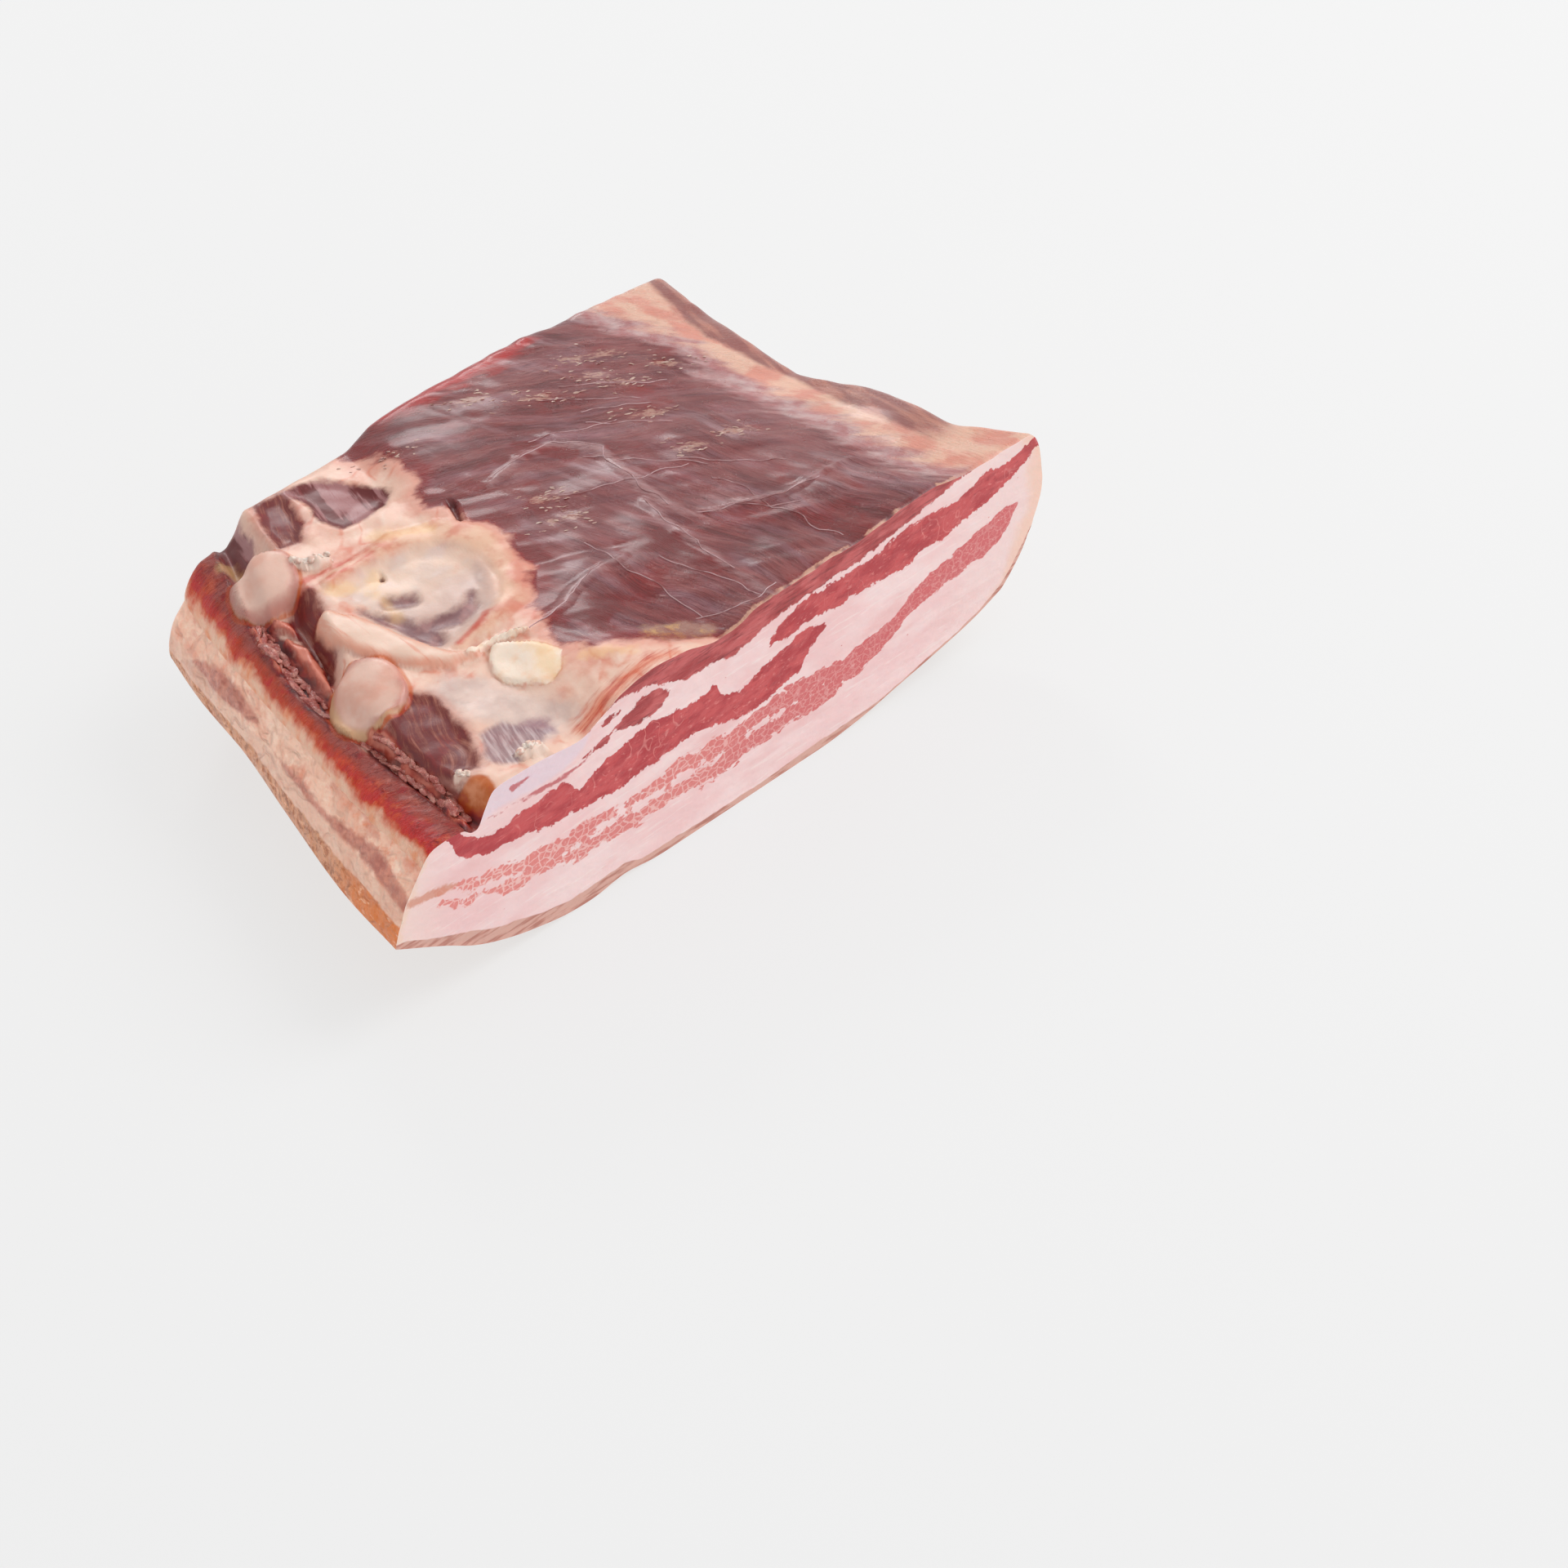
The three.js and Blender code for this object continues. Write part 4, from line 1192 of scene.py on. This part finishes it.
# %% The rib side
def rib_side():
    f = Finish("rib_side")
    rough_edge = 0.9 * f.grain((6, 6, 6), detail=5, rough=0.62)
    skin, skin_relief = muscle_skin(f)
    skin = muscle_edges(f, skin)
    bed, small = bed_of_fat(f, rough_edge)
    fingers = 2.6 * f.grain((15, 7, 15), -25, 5, 0.6) + 1.2 * rough_edge
    in_bed = f.zone("bed", 1.6, fingers)
    bed = f.mix(bed, paint(218, 156, 146), 0.5 * f.mask(f.measure("bed") + fingers, 7, 1))
    skin = f.mix(skin, paint(140, 44, 46), 0.6 * f.mask(f.measure("bed") + fingers, -7, -1))
    seen = f.mix(skin, bed, in_bed)
    streaks = f.grain((14, 1.5, 14), 4, 5, 0.7)
    fringe = f.mix(paint(222, 146, 128), paint(184, 80, 76), f.mask(streaks, -0.4, 0.6))
    fringe = f.mix(fringe, paint(244, 206, 186), f.mask(streaks, 0.7, 1.2))
    seen = f.mix(seen, fringe, 0.75 * f.zone("fringe", 1.8, 1.6 * streaks))

    ledge, ledge_relief = red_ledge(f, small)
    seen = f.mix(seen, ledge, f.zone("ledge", 1.0, rough_edge))
    seen = f.mix(seen, groove(f, small), f.zone("groove", 1.0, 1.2 * rough_edge))
    scalloped = 0.9 * f.grain((9, 9, 9), detail=2) + 0.5 * f.grain((2.6, 2.6, 2.6), detail=3)
    cream = f.mix(paint(242, 204, 186), paint(234, 172, 148), f.mask(small, -0.2, 0.5))
    seen = f.mix(seen, cream, f.mask(f.measure("rim") + 0.9 + 1.3 * scalloped, -1.5, 0.9))
    brown = f.mix(paint(188, 122, 98), paint(222, 166, 142), f.mask(small, -0.3, 0.5))
    brown = f.mix(brown, paint(156, 84, 64), 0.7 * f.mask(f.measure("along") + 2 * small, 32.5, 29.5))
    seen = f.mix(seen, brown, f.zone("brown_end", 0.6, 0.8 * small))
    seen = forms_of_bed(f, seen, rough_edge, small)
    flap = f.mix(paint(164, 84, 78), paint(222, 158, 146), f.mask(f.measure("flap") + 3 * small, -0.2, 1.6))
    seen = f.mix(seen, flap, 0.85 * f.zone("flap", 0.8, 2.2 * small))
    seen = f.mix(seen, paint(242, 220, 208), f.zone("white_lump", 0.3, 0.6 * small))

    veined = f.measure("peach") + 5 * f.grain((18, 4, 10), -50, 4, 0.62)
    pale_veins = f.mix(paint(196, 146, 146), paint(226, 202, 200), f.mask(small, -0.4, 0.5))
    seen = f.mix(seen, pale_veins, 0.8 * f.mask(veined, -12, -4))
    clouds = f.mask(f.grain((11, 7, 10), -60, 5), -0.3, 0.5)
    peach = f.mix(paint(242, 206, 190), paint(232, 178, 166), clouds)
    seen = f.mix(seen, peach, f.mask(veined, -4, 4))
    far = f.mix(paint(150, 104, 102), paint(196, 148, 138), f.mask(f.grain((14, 3, 8), 80, 4), -0.4, 0.7))
    behind_cut = f.mask(f.measure("from_cut"), 14, 24)
    seen = f.mix(seen, far, 0.9 * f.zone("far_side", 1.5, rough_edge) * behind_cut)

    soft_lumps = f.grain((8, 8, 8), detail=1) + 0.15 * f.grain((2.6, 2.6, 2.6), detail=2)
    between_beds = between(0.7 * skin_relief, 0.25 * soft_lumps, in_bed)
    relief = between(between_beds, 0.8 * ledge_relief + 0.4 * soft_lumps, f.zone("ledge", 1.0))
    roughness = 0.3 + 0.06 * f.grain((8, 8, 8), detail=3) + 0.16 * in_bed
    # The rolled-over left rim gets less light, so its colour is painted brighter to make up for the shade.
    rolled_over = f.mask(f.measure("rim"), -LEFT_ROUND, 0)
    painted_light_lift = 1.0 + (LIGHT_ON_TOP / LIGHT_ON_SIDES - 1) * rolled_over
    own = f.own_colour(seen, LIGHT_ON_TOP, 1.28, painted_light_lift)
    return f.done(own, roughness, flesh(0.35 - 0.25 * in_bed), f.bump(relief, 0.8))


# %% [markdown]
# ## Cured sides and rind
# The ends and the back dried into a firm crust: cream fat with soft lobules and an orange net of tissue,
# and the lean as brownish streaks. On the left end the layers come from their measured heights, on the
# back and the right end from the same streaks as on the cut. The rind is scalded skin: tan, with fine
# wrinkles and pores.


# %% Cured sides
def cured_side():
    f = Finish("cured_side")
    small = 0.7 * f.grain((3, 3, 2.4), detail=4, rough=0.6)
    blotch = 0.7 * f.grain((11, 11, 8), detail=4, rough=0.55)
    bent = f.wander((6, 6, 6), 5)
    crust = f.mix(paint(236, 196, 176), paint(218, 156, 136), f.mask(blotch, -0.2, 0.7))
    pale_lobes = f.mask(f.grain((7, 7, 5), detail=5, rough=0.66), 0.0, 0.6)
    crust = f.mix(crust, paint(246, 216, 198), 0.6 * pale_lobes)
    brown_patches = f.mask(f.grain((13, 13, 5), detail=4, rough=0.6), 0.2, 0.8)
    crust = f.mix(crust, paint(206, 142, 126), 0.6 * brown_patches)
    net = f.threads((5, 6, 3.4), 20, bent, 0.9) * f.mask(small, -0.2, 0.6)
    near_cut = f.mask(f.measure("from_cut") + 10 * blotch, 55, 8)
    crust = f.mix(crust, paint(224, 140, 112), 0.5 * net * (0.5 + 0.5 * near_cut))
    crust = f.mix(crust, paint(212, 132, 98), 0.6 * near_cut * f.mask(small + blotch, 0.0, 0.8))

    left = f.mask(f.measure("along"), 70, 55)
    dried_lean = f.mix(paint(160, 98, 90), paint(204, 146, 132), f.mask(small, -0.4, 0.7))
    lean = f.measure("left_lean").most(f.measure("left_oval"))
    crust = f.mix(crust, dried_lean, 0.85 * left * f.mask(lean + 0.9 * small + 0.4 * blotch, -0.6, 0.9))
    white = f.mask(f.measure("left_rind") + 0.6 * small, -4.6, -3.6)
    crust = f.mix(crust, paint(222, 186, 168), 0.75 * left * white)
    other_lean = f.measure("main_lean").most(f.measure("second_lean")).most(f.measure("pale_right"))
    crust = f.mix(crust, dried_lean, 0.8 * (1 - left) * f.mask(other_lean + small, -0.6, 0.9))
    crust = f.mix(crust, paint(178, 108, 96), (1 - left) * f.zone("top_lean", 0.8, small))
    tanned = f.mask(f.grain((16, 16, 12), detail=3), 0.0, 0.6)
    crust = f.mix(crust, paint(226, 172, 146), 0.6 * (1 - left) * tanned)

    dots = f.mask(f.grain((2.2, 2.2, 1.6), detail=4, rough=0.7), -0.2, 0.5)
    tan = f.mix(paint(206, 154, 126), paint(160, 106, 82), dots)
    tan = f.mix(tan, paint(212, 130, 88), 0.8 * f.mask(f.measure("from_cut") + 6 * small, 36, 14))
    # Thin bright streaks on the tan rind are painted glints.
    tan = f.mix(tan, paint(238, 188, 160), 0.7 * f.mask(f.grain((1.4, 5, 1.4), detail=3), 0.35, 0.7))
    rind = left * f.mask(f.measure("left_rind") + 0.5 * small, -0.3, 0.4)
    low = (1 - left) * f.mask(f.measure("rise") + 0.01 * small, 0.075, 0.06)
    crust = f.mix(crust, tan, rind.most(low))
    creases = f.threads((9, 12, 6), 15, bent, 0.4)
    relief = 0.4 * small + 0.9 * f.grain((5, 6, 4), detail=2) - 0.6 * creases
    # The creases are also painted a little darker: painted shade in them.
    seen = f.mix(crust, paint(206, 152, 132), 0.25 * creases)
    return f.done(f.own_colour(seen, LIGHT_ON_SIDES), 0.42 + 0.1 * blotch, flesh(0.2), f.bump(relief, 0.8))


# %% Rind
def rind_skin():
    f = Finish("rind_skin")
    clouds = f.mask(f.grain((28, 28, 28), detail=4), -0.4, 0.6)
    tan = f.mix(paint(222, 172, 132), paint(200, 142, 106), clouds)
    pores = f.mask(f.cells((2.6, 2.6, 2.6), "F1"), 0.16, 0.05)
    wrinkles = f.grain((22, 3, 6), 12, 4, 0.6)
    tan = f.mix(tan, paint(230, 186, 150), 0.5 * f.mask(wrinkles, 0.2, 0.8))
    tan = f.mix(tan, paint(160, 106, 76), 0.5 * pores)
    return f.done(tan, 0.5, flesh(0.1), f.bump(0.6 * wrinkles - pores, 0.25))


for finish in (fresh_cut, cured_side, rib_side, rind_skin):
    slab.data.materials.append(finish())
print("finishes:", [(m.name, len(m.node_tree.nodes)) for m in slab.data.materials])
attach(slab, "root")
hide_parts("bacon_slab")

# %% [markdown]
# ## Small bits on the slab
# The rib side carries bits too fine for its skin: threads of silverskin, torn shreds in the groove,
# flecks that dried on, crumbs of fat. On the real slab they come from pulling out the ribs and from
# curing. Each kind repeats by a rule, so Geometry Nodes makes it, with its sizes as named inputs. Every
# bit is pressed onto the skin, so nothing floats.


# %% A recipe for a shape
class Recipe(Network):
    """A Geometry Nodes network with named sizes, run once and kept as a plain mesh."""

    FAMILIES = ("GeometryNode", "FunctionNode", "ShaderNode", "Node")

    def __init__(self, name, **sizes):
        self.name = name
        self.sizes = sizes
        self.tree = bpy.data.node_groups.new(name, "GeometryNodeTree")
        sockets = self.tree.interface
        sockets.new_socket("Geometry", in_out="INPUT", socket_type="NodeSocketGeometry")
        for size in sizes:
            sockets.new_socket(size, in_out="INPUT", socket_type="NodeSocketFloat")
        sockets.new_socket("Geometry", in_out="OUTPUT", socket_type="NodeSocketGeometry")
        self.start = self.node("GroupInput")

    def size(self, name):
        """A named size; lengths are in mm."""
        return Wire(self, self.start.socket.node.outputs[name])

    def chance(self, seed_step, least=0.0, most=1.0):
        """A random number for each point or bit."""
        return self.node("RandomValue", {}, {2: least, 3: most, "Seed": self.size("seed") + seed_step}, 1)

    def axes(self, along, across, up):
        return self.node("CombineXYZ", {}, {0: along, 1: across, 2: up})

    def shaken(self, geometry, size, amount):
        """Every point pushed about by noise of a size, by an amount, both in mm."""
        place = self.node("InputPosition")
        spot = self.scaled(place, MM_IN_A_METRE / size)
        push = self.scaled(self.any_way(spot), amount * (2 / MM_IN_A_METRE))
        return self.node("SetPosition", {}, {"Geometry": geometry, "Offset": push})

    def pressed(self, geometry):
        """Every point moved to the nearest place on the slab."""
        skin = self.node("ObjectInfo", {}, {"Object": slab}, "Geometry")
        nearest = self.node("Proximity", {"target_element": "FACES"}, {0: skin})
        return self.node("SetPosition", {}, {"Geometry": geometry, "Position": nearest})

    def grow(self, begin, geometry, material):
        """Runs the network on a mesh and gives the result, in its finish, as a plain mesh."""
        real = self.node("RealizeInstances", {}, {0: geometry})
        rough = self.shaken(real, 1.1, self.size("roughness"))
        finished = self.node("SetMaterial", {}, {0: rough, "Material": material})
        self.node("GroupOutput", {}, {0: finished}, None)
        bits = bpy.data.objects.new(self.name, begin)
        bpy.context.scene.collection.objects.link(bits)
        modifier = bits.modifiers.new(self.name, "NODES")
        modifier.node_group = self.tree
        for socket in self.tree.interface.items_tree:
            if socket.name in self.sizes:
                modifier[socket.identifier] = float(self.sizes[socket.name])
        bpy.context.view_layer.update()
        evaluated = bits.evaluated_get(bpy.context.evaluated_depsgraph_get())
        plain = bpy.data.meshes.new_from_object(evaluated)
        spots = np.empty(3 * len(plain.vertices), np.float32)
        plain.vertices.foreach_get("co", spots)
        spots = np.clip(spots.reshape(-1, 3), CAD_LOW, CAD_HIGH)
        plain.vertices.foreach_set("co", spots.ravel())
        bits.modifiers.clear()
        bits.data = plain
        plain.shade_smooth()
        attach(bits, "root")
        print(self.name, "has", len(plain.polygons), "faces")


# %% Where the bits begin
def on_rib_side(x, y):
    """Points in mm on the rib side at plan points."""
    x, y = np.asarray(x, float), np.asarray(y, float)
    left, right = top_left_x(y), top_right_x(y)
    return np.stack([x, y, rib_point((x - left) / (right - left), y)[1]], axis=-1)


def lines_mesh(name, lines):
    """A mesh of lines through points in mm, for a recipe to begin with."""
    spots = np.concatenate(lines)
    last = np.cumsum([len(line) for line in lines]) - 1
    edges = [(i, i + 1) for i in range(len(spots) - 1) if i not in last]
    mesh = bpy.data.meshes.new(name)
    mesh.from_pydata((spots / MM_IN_A_METRE + np.array(CAD_LOW)).tolist(), edges, [])
    return mesh


# %% Threads of silverskin
THREADS = 14
dice = np.random.default_rng(71)
thread_lines = [on_rib_side(*np.array(line)[:-1, :2].T) for line in MEMBRANE]
for _ in range(THREADS):
    start_y, length = dice.uniform(6, 112), dice.uniform(18, 46)
    lean_over = FIBRES_BACK if start_y > 55 or dice.random() < 0.4 else FIBRES_FRONT
    direction = math.radians(lean_over + dice.uniform(-16, 16))
    steps = np.linspace(0, length, 6)
    start_x = dice.uniform(112, 172)
    thread_y = np.clip(start_y + steps * math.sin(direction), 3, 128)
    thread_lines.append(on_rib_side(start_x + steps * math.cos(direction) * 0.8, thread_y))

recipe = Recipe("silverskin_threads", thickness=0.17, wander=3.4, step=1.2, roughness=0.1, seed=3.0)
curve_line = recipe.node("MeshToCurve", {}, {0: recipe.start})
fine_line = recipe.node("ResampleCurve", {"mode": "LENGTH"}, {
    "Curve": curve_line, "Length": recipe.size("step") * (1 / MM_IN_A_METRE),
})
bent_line = recipe.pressed(recipe.shaken(fine_line, 11, recipe.size("wander")))
part_way = recipe.node("SplineParameter")
taper = part_way * (1 - part_way) * 3.2 + 0.1
uneven = recipe.chance(1, 0.55, 1.1)
thick = recipe.node("SetCurveRadius", {}, {0: bent_line, "Radius": taper.least(1.0) * uneven})
ring_line = recipe.node("CurvePrimitiveCircle", {}, {
    "Resolution": 6, "Radius": recipe.size("thickness") * (1 / MM_IN_A_METRE),
})
tubes = recipe.node("CurveToMesh", {}, {0: thick, "Profile Curve": ring_line, "Fill Caps": True})

skin_finish = Finish("silverskin")
shade = skin_finish.mask(skin_finish.grain((5, 5, 5), detail=4), -0.2, 0.6)
milky_shade = skin_finish.mix(paint(196, 160, 162), paint(150, 104, 104), shade)
silverskin = skin_finish.done(skin_finish.own_colour(milky_shade, LIGHT_ON_TOP), 0.35, flesh(0.2))
recipe.grow(lines_mesh("thread_lines", thread_lines), tubes, silverskin)


# %% Bits that lie along lines or on the skin
def bits(recipe, spots, turn):
    """Flat rounded bits on points, each with its own size and turn round the upright."""
    ball = recipe.node("MeshIcoSphere", {}, {"Radius": 1 / MM_IN_A_METRE, "Subdivisions": 3})
    spin = math.radians(turn) + recipe.chance(1, -0.5, 0.5) * recipe.size("spin")
    rotation = recipe.node("EulerToRotation", {}, {0: recipe.axes(recipe.chance(2, -0.3, 0.3), 0.0, spin)})
    scale = recipe.axes(
        recipe.size("length") * recipe.chance(3, 0.45, 1.0),
        recipe.size("width") * recipe.chance(4, 0.5, 1.0),
        recipe.size("thickness") * recipe.chance(5, 0.6, 1.0),
    )
    return recipe.node("InstanceOnPoints", {}, {
        "Points": spots, "Instance": ball, "Rotation": rotation, "Scale": scale,
    })


def spots_along(recipe):
    """Points along the lines that the recipe begins with, scattered and then pressed onto the slab."""
    line = recipe.node("MeshToCurve", {}, {0: recipe.start})
    even = recipe.node("ResampleCurve", {"mode": "LENGTH"}, {
        "Curve": line, "Length": recipe.size("step") * (1 / MM_IN_A_METRE),
    })
    return recipe.pressed(recipe.shaken(even, 1.7, recipe.size("scatter")))


# %% Shreds in the groove
GROOVE_RUNS = [(4, 43, 1.5), (5, 40, 4), (60, 99, 1), (64, 97, 3.5)]
GROOVE_TURN = 80
shred_lines = []
for from_y, to_y, beside in GROOVE_RUNS:
    run_y = np.linspace(from_y, to_y, 24)
    shred_lines.append(on_rib_side(groove_x(run_y) + beside, run_y))
recipe = Recipe(
    "torn_shreds", length=3.6, width=1.3, thickness=0.8, spin=1.3, step=2.1, scatter=1.8, roughness=0.6,
    seed=5.0,
)
shred_finish = Finish("torn_shreds")
# Shreds are paler and pinker where their bump is high: own colour with painted highlight on their tops.
shade = shred_finish.grain((3.5, 3.5, 3.5), detail=5, rough=0.7)
redder, paler = shred_finish.mask(shade, -0.5, 0.8), shred_finish.mask(shade, 0.9, 1.4)
shred_colour = shred_finish.mix(paint(176, 98, 92), paint(228, 166, 154), redder)
shred_colour = shred_finish.mix(shred_colour, paint(238, 204, 190), paler)
shreds = shred_finish.done(
    shred_finish.own_colour(shred_colour, LIGHT_ON_TOP), 0.32, flesh(0.4), shred_finish.bump(shade, 0.4)
)
recipe.grow(lines_mesh("shred_lines", shred_lines), bits(recipe, spots_along(recipe), GROOVE_TURN), shreds)

# %% Crumbs of white fat
CRUMB_LINES = [
    [(47.6, 4.8), (50.4, 4.6), (53, 3.6)], [(32.6, 10.4), (34, 8.6)],
    [(58.6, 103.4), (61, 100.4), (66, 98.4)],
]
recipe = Recipe(
    "crumbs_of_fat", length=1.5, width=1.2, thickness=0.9, spin=6.3, step=0.9, scatter=1.6, roughness=0.45,
    seed=8.0,
)
crumb_finish = Finish("crumbs_of_fat")
shade = crumb_finish.mask(crumb_finish.grain((2, 2, 2), detail=4), -0.3, 0.5)
crumb_colour = crumb_finish.mix(paint(242, 222, 210), paint(228, 190, 176), shade)
crumbs = crumb_finish.done(crumb_finish.own_colour(crumb_colour, LIGHT_ON_TOP), 0.35, flesh(0.3))
crumb_lines = [on_rib_side(*np.array(line).T) for line in CRUMB_LINES]
recipe.grow(lines_mesh("crumb_lines", crumb_lines), bits(recipe, spots_along(recipe), 0), crumbs)

# %% Flecks that dried on the muscle
CM2_IN_A_SQUARE_METRE = 10000
rib_vertices = np.zeros(len(x), bool)
rib_vertices[np.unique(grid_faces(vertex_at[:, -1, :]))] = True
likely = (rib_vertices * measures["flecks"]).astype(np.float32)
slab.data.attributes.new("likely", "FLOAT", "POINT").data.foreach_set("value", likely)

recipe = Recipe(
    "dried_flecks", length=1.2, width=0.34, thickness=0.12, spin=0.9, per_cm2=26.0, apart=0.6, roughness=0.3,
    seed=4.0,
)
share_here = recipe.node("InputNamedAttribute", {"data_type": "FLOAT"}, {"Name": "likely"})
fleck_spots = recipe.node("DistributePointsOnFaces", {"distribute_method": "POISSON"}, {
    "Mesh": recipe.start, "Distance Min": recipe.size("apart") * (1 / MM_IN_A_METRE),
    "Density Max": recipe.size("per_cm2") * CM2_IN_A_SQUARE_METRE, "Density Factor": share_here,
    "Seed": recipe.size("seed"),
})
fleck_finish = Finish("dried_flecks")
shade = fleck_finish.mask(fleck_finish.grain((5, 5, 5), detail=4), -0.3, 0.6)
fleck_colour = fleck_finish.mix(paint(208, 176, 164), paint(176, 130, 122), shade)
flecks = fleck_finish.done(fleck_finish.own_colour(fleck_colour, LIGHT_ON_TOP), 0.4, flesh(0.1))
recipe.grow(slab.data.copy(), bits(recipe, fleck_spots, FIBRES_BACK), flecks)

# %% [markdown]
# ## Floor and light
# The floor is the lit white table of a photo studio: plain and pale, glowing a little, so that shadows
# stay faint and the low sides of the slab aren't dark. The room around is evenly white. A large soft box
# high on the right gives form and a soft shadow on the left, and a smaller one behind makes the moist
# places glint.

# %% Floor
FLOOR_HALF, FLOOR_WHITE, FLOOR_GLOW = 4.0, 0.14, 0.68

floor = mesh_object(
    "floor",
    np.array([(-1, -1, 0), (1, -1, 0), (1, 1, 0), (-1, 1, 0)]) * FLOOR_HALF * MM_IN_A_METRE,
    [(0, 1, 2, 3)],
)
pale = Finish("pale_floor")
glow = {"Emission Color": (1, 1, 1, 1), "Emission Strength": FLOOR_GLOW}
floor.data.materials.append(pale.done((FLOOR_WHITE, FLOOR_WHITE, FLOOR_WHITE, 1), 0.9, glow))
print("the floor is", 2 * FLOOR_HALF, "m wide")

# %% Light
SURROUND = 0.8
LIGHTS = {
    "soft_box": {"towards": (0.9, -0.45, 1.1), "away": 1.6, "size": 0.9, "power": 13},
    "back_light": {"towards": (0.5, 0.8, 0.62), "away": 1.7, "size": 0.4, "power": 5},
}

world = bpy.data.worlds.new("surround")
world.use_nodes = True
world.node_tree.nodes["Background"].inputs["Color"].default_value = (SURROUND, SURROUND, SURROUND, 1)
bpy.context.scene.world = world

for name, light in LIGHTS.items():
    lamp = bpy.data.objects.new(name, bpy.data.lights.new(name, "AREA"))
    lamp.data.size = light["size"]
    lamp.data.energy = light["power"]
    lamp.location = Vector(light["towards"]).normalized() * light["away"]
    lamp.rotation_euler = (-lamp.location).to_track_quat("-Z", "Y").to_euler()
    bpy.context.scene.collection.objects.link(lamp)
bpy.context.scene.view_settings.view_transform = "Standard"
print("lights:", sorted(LIGHTS))
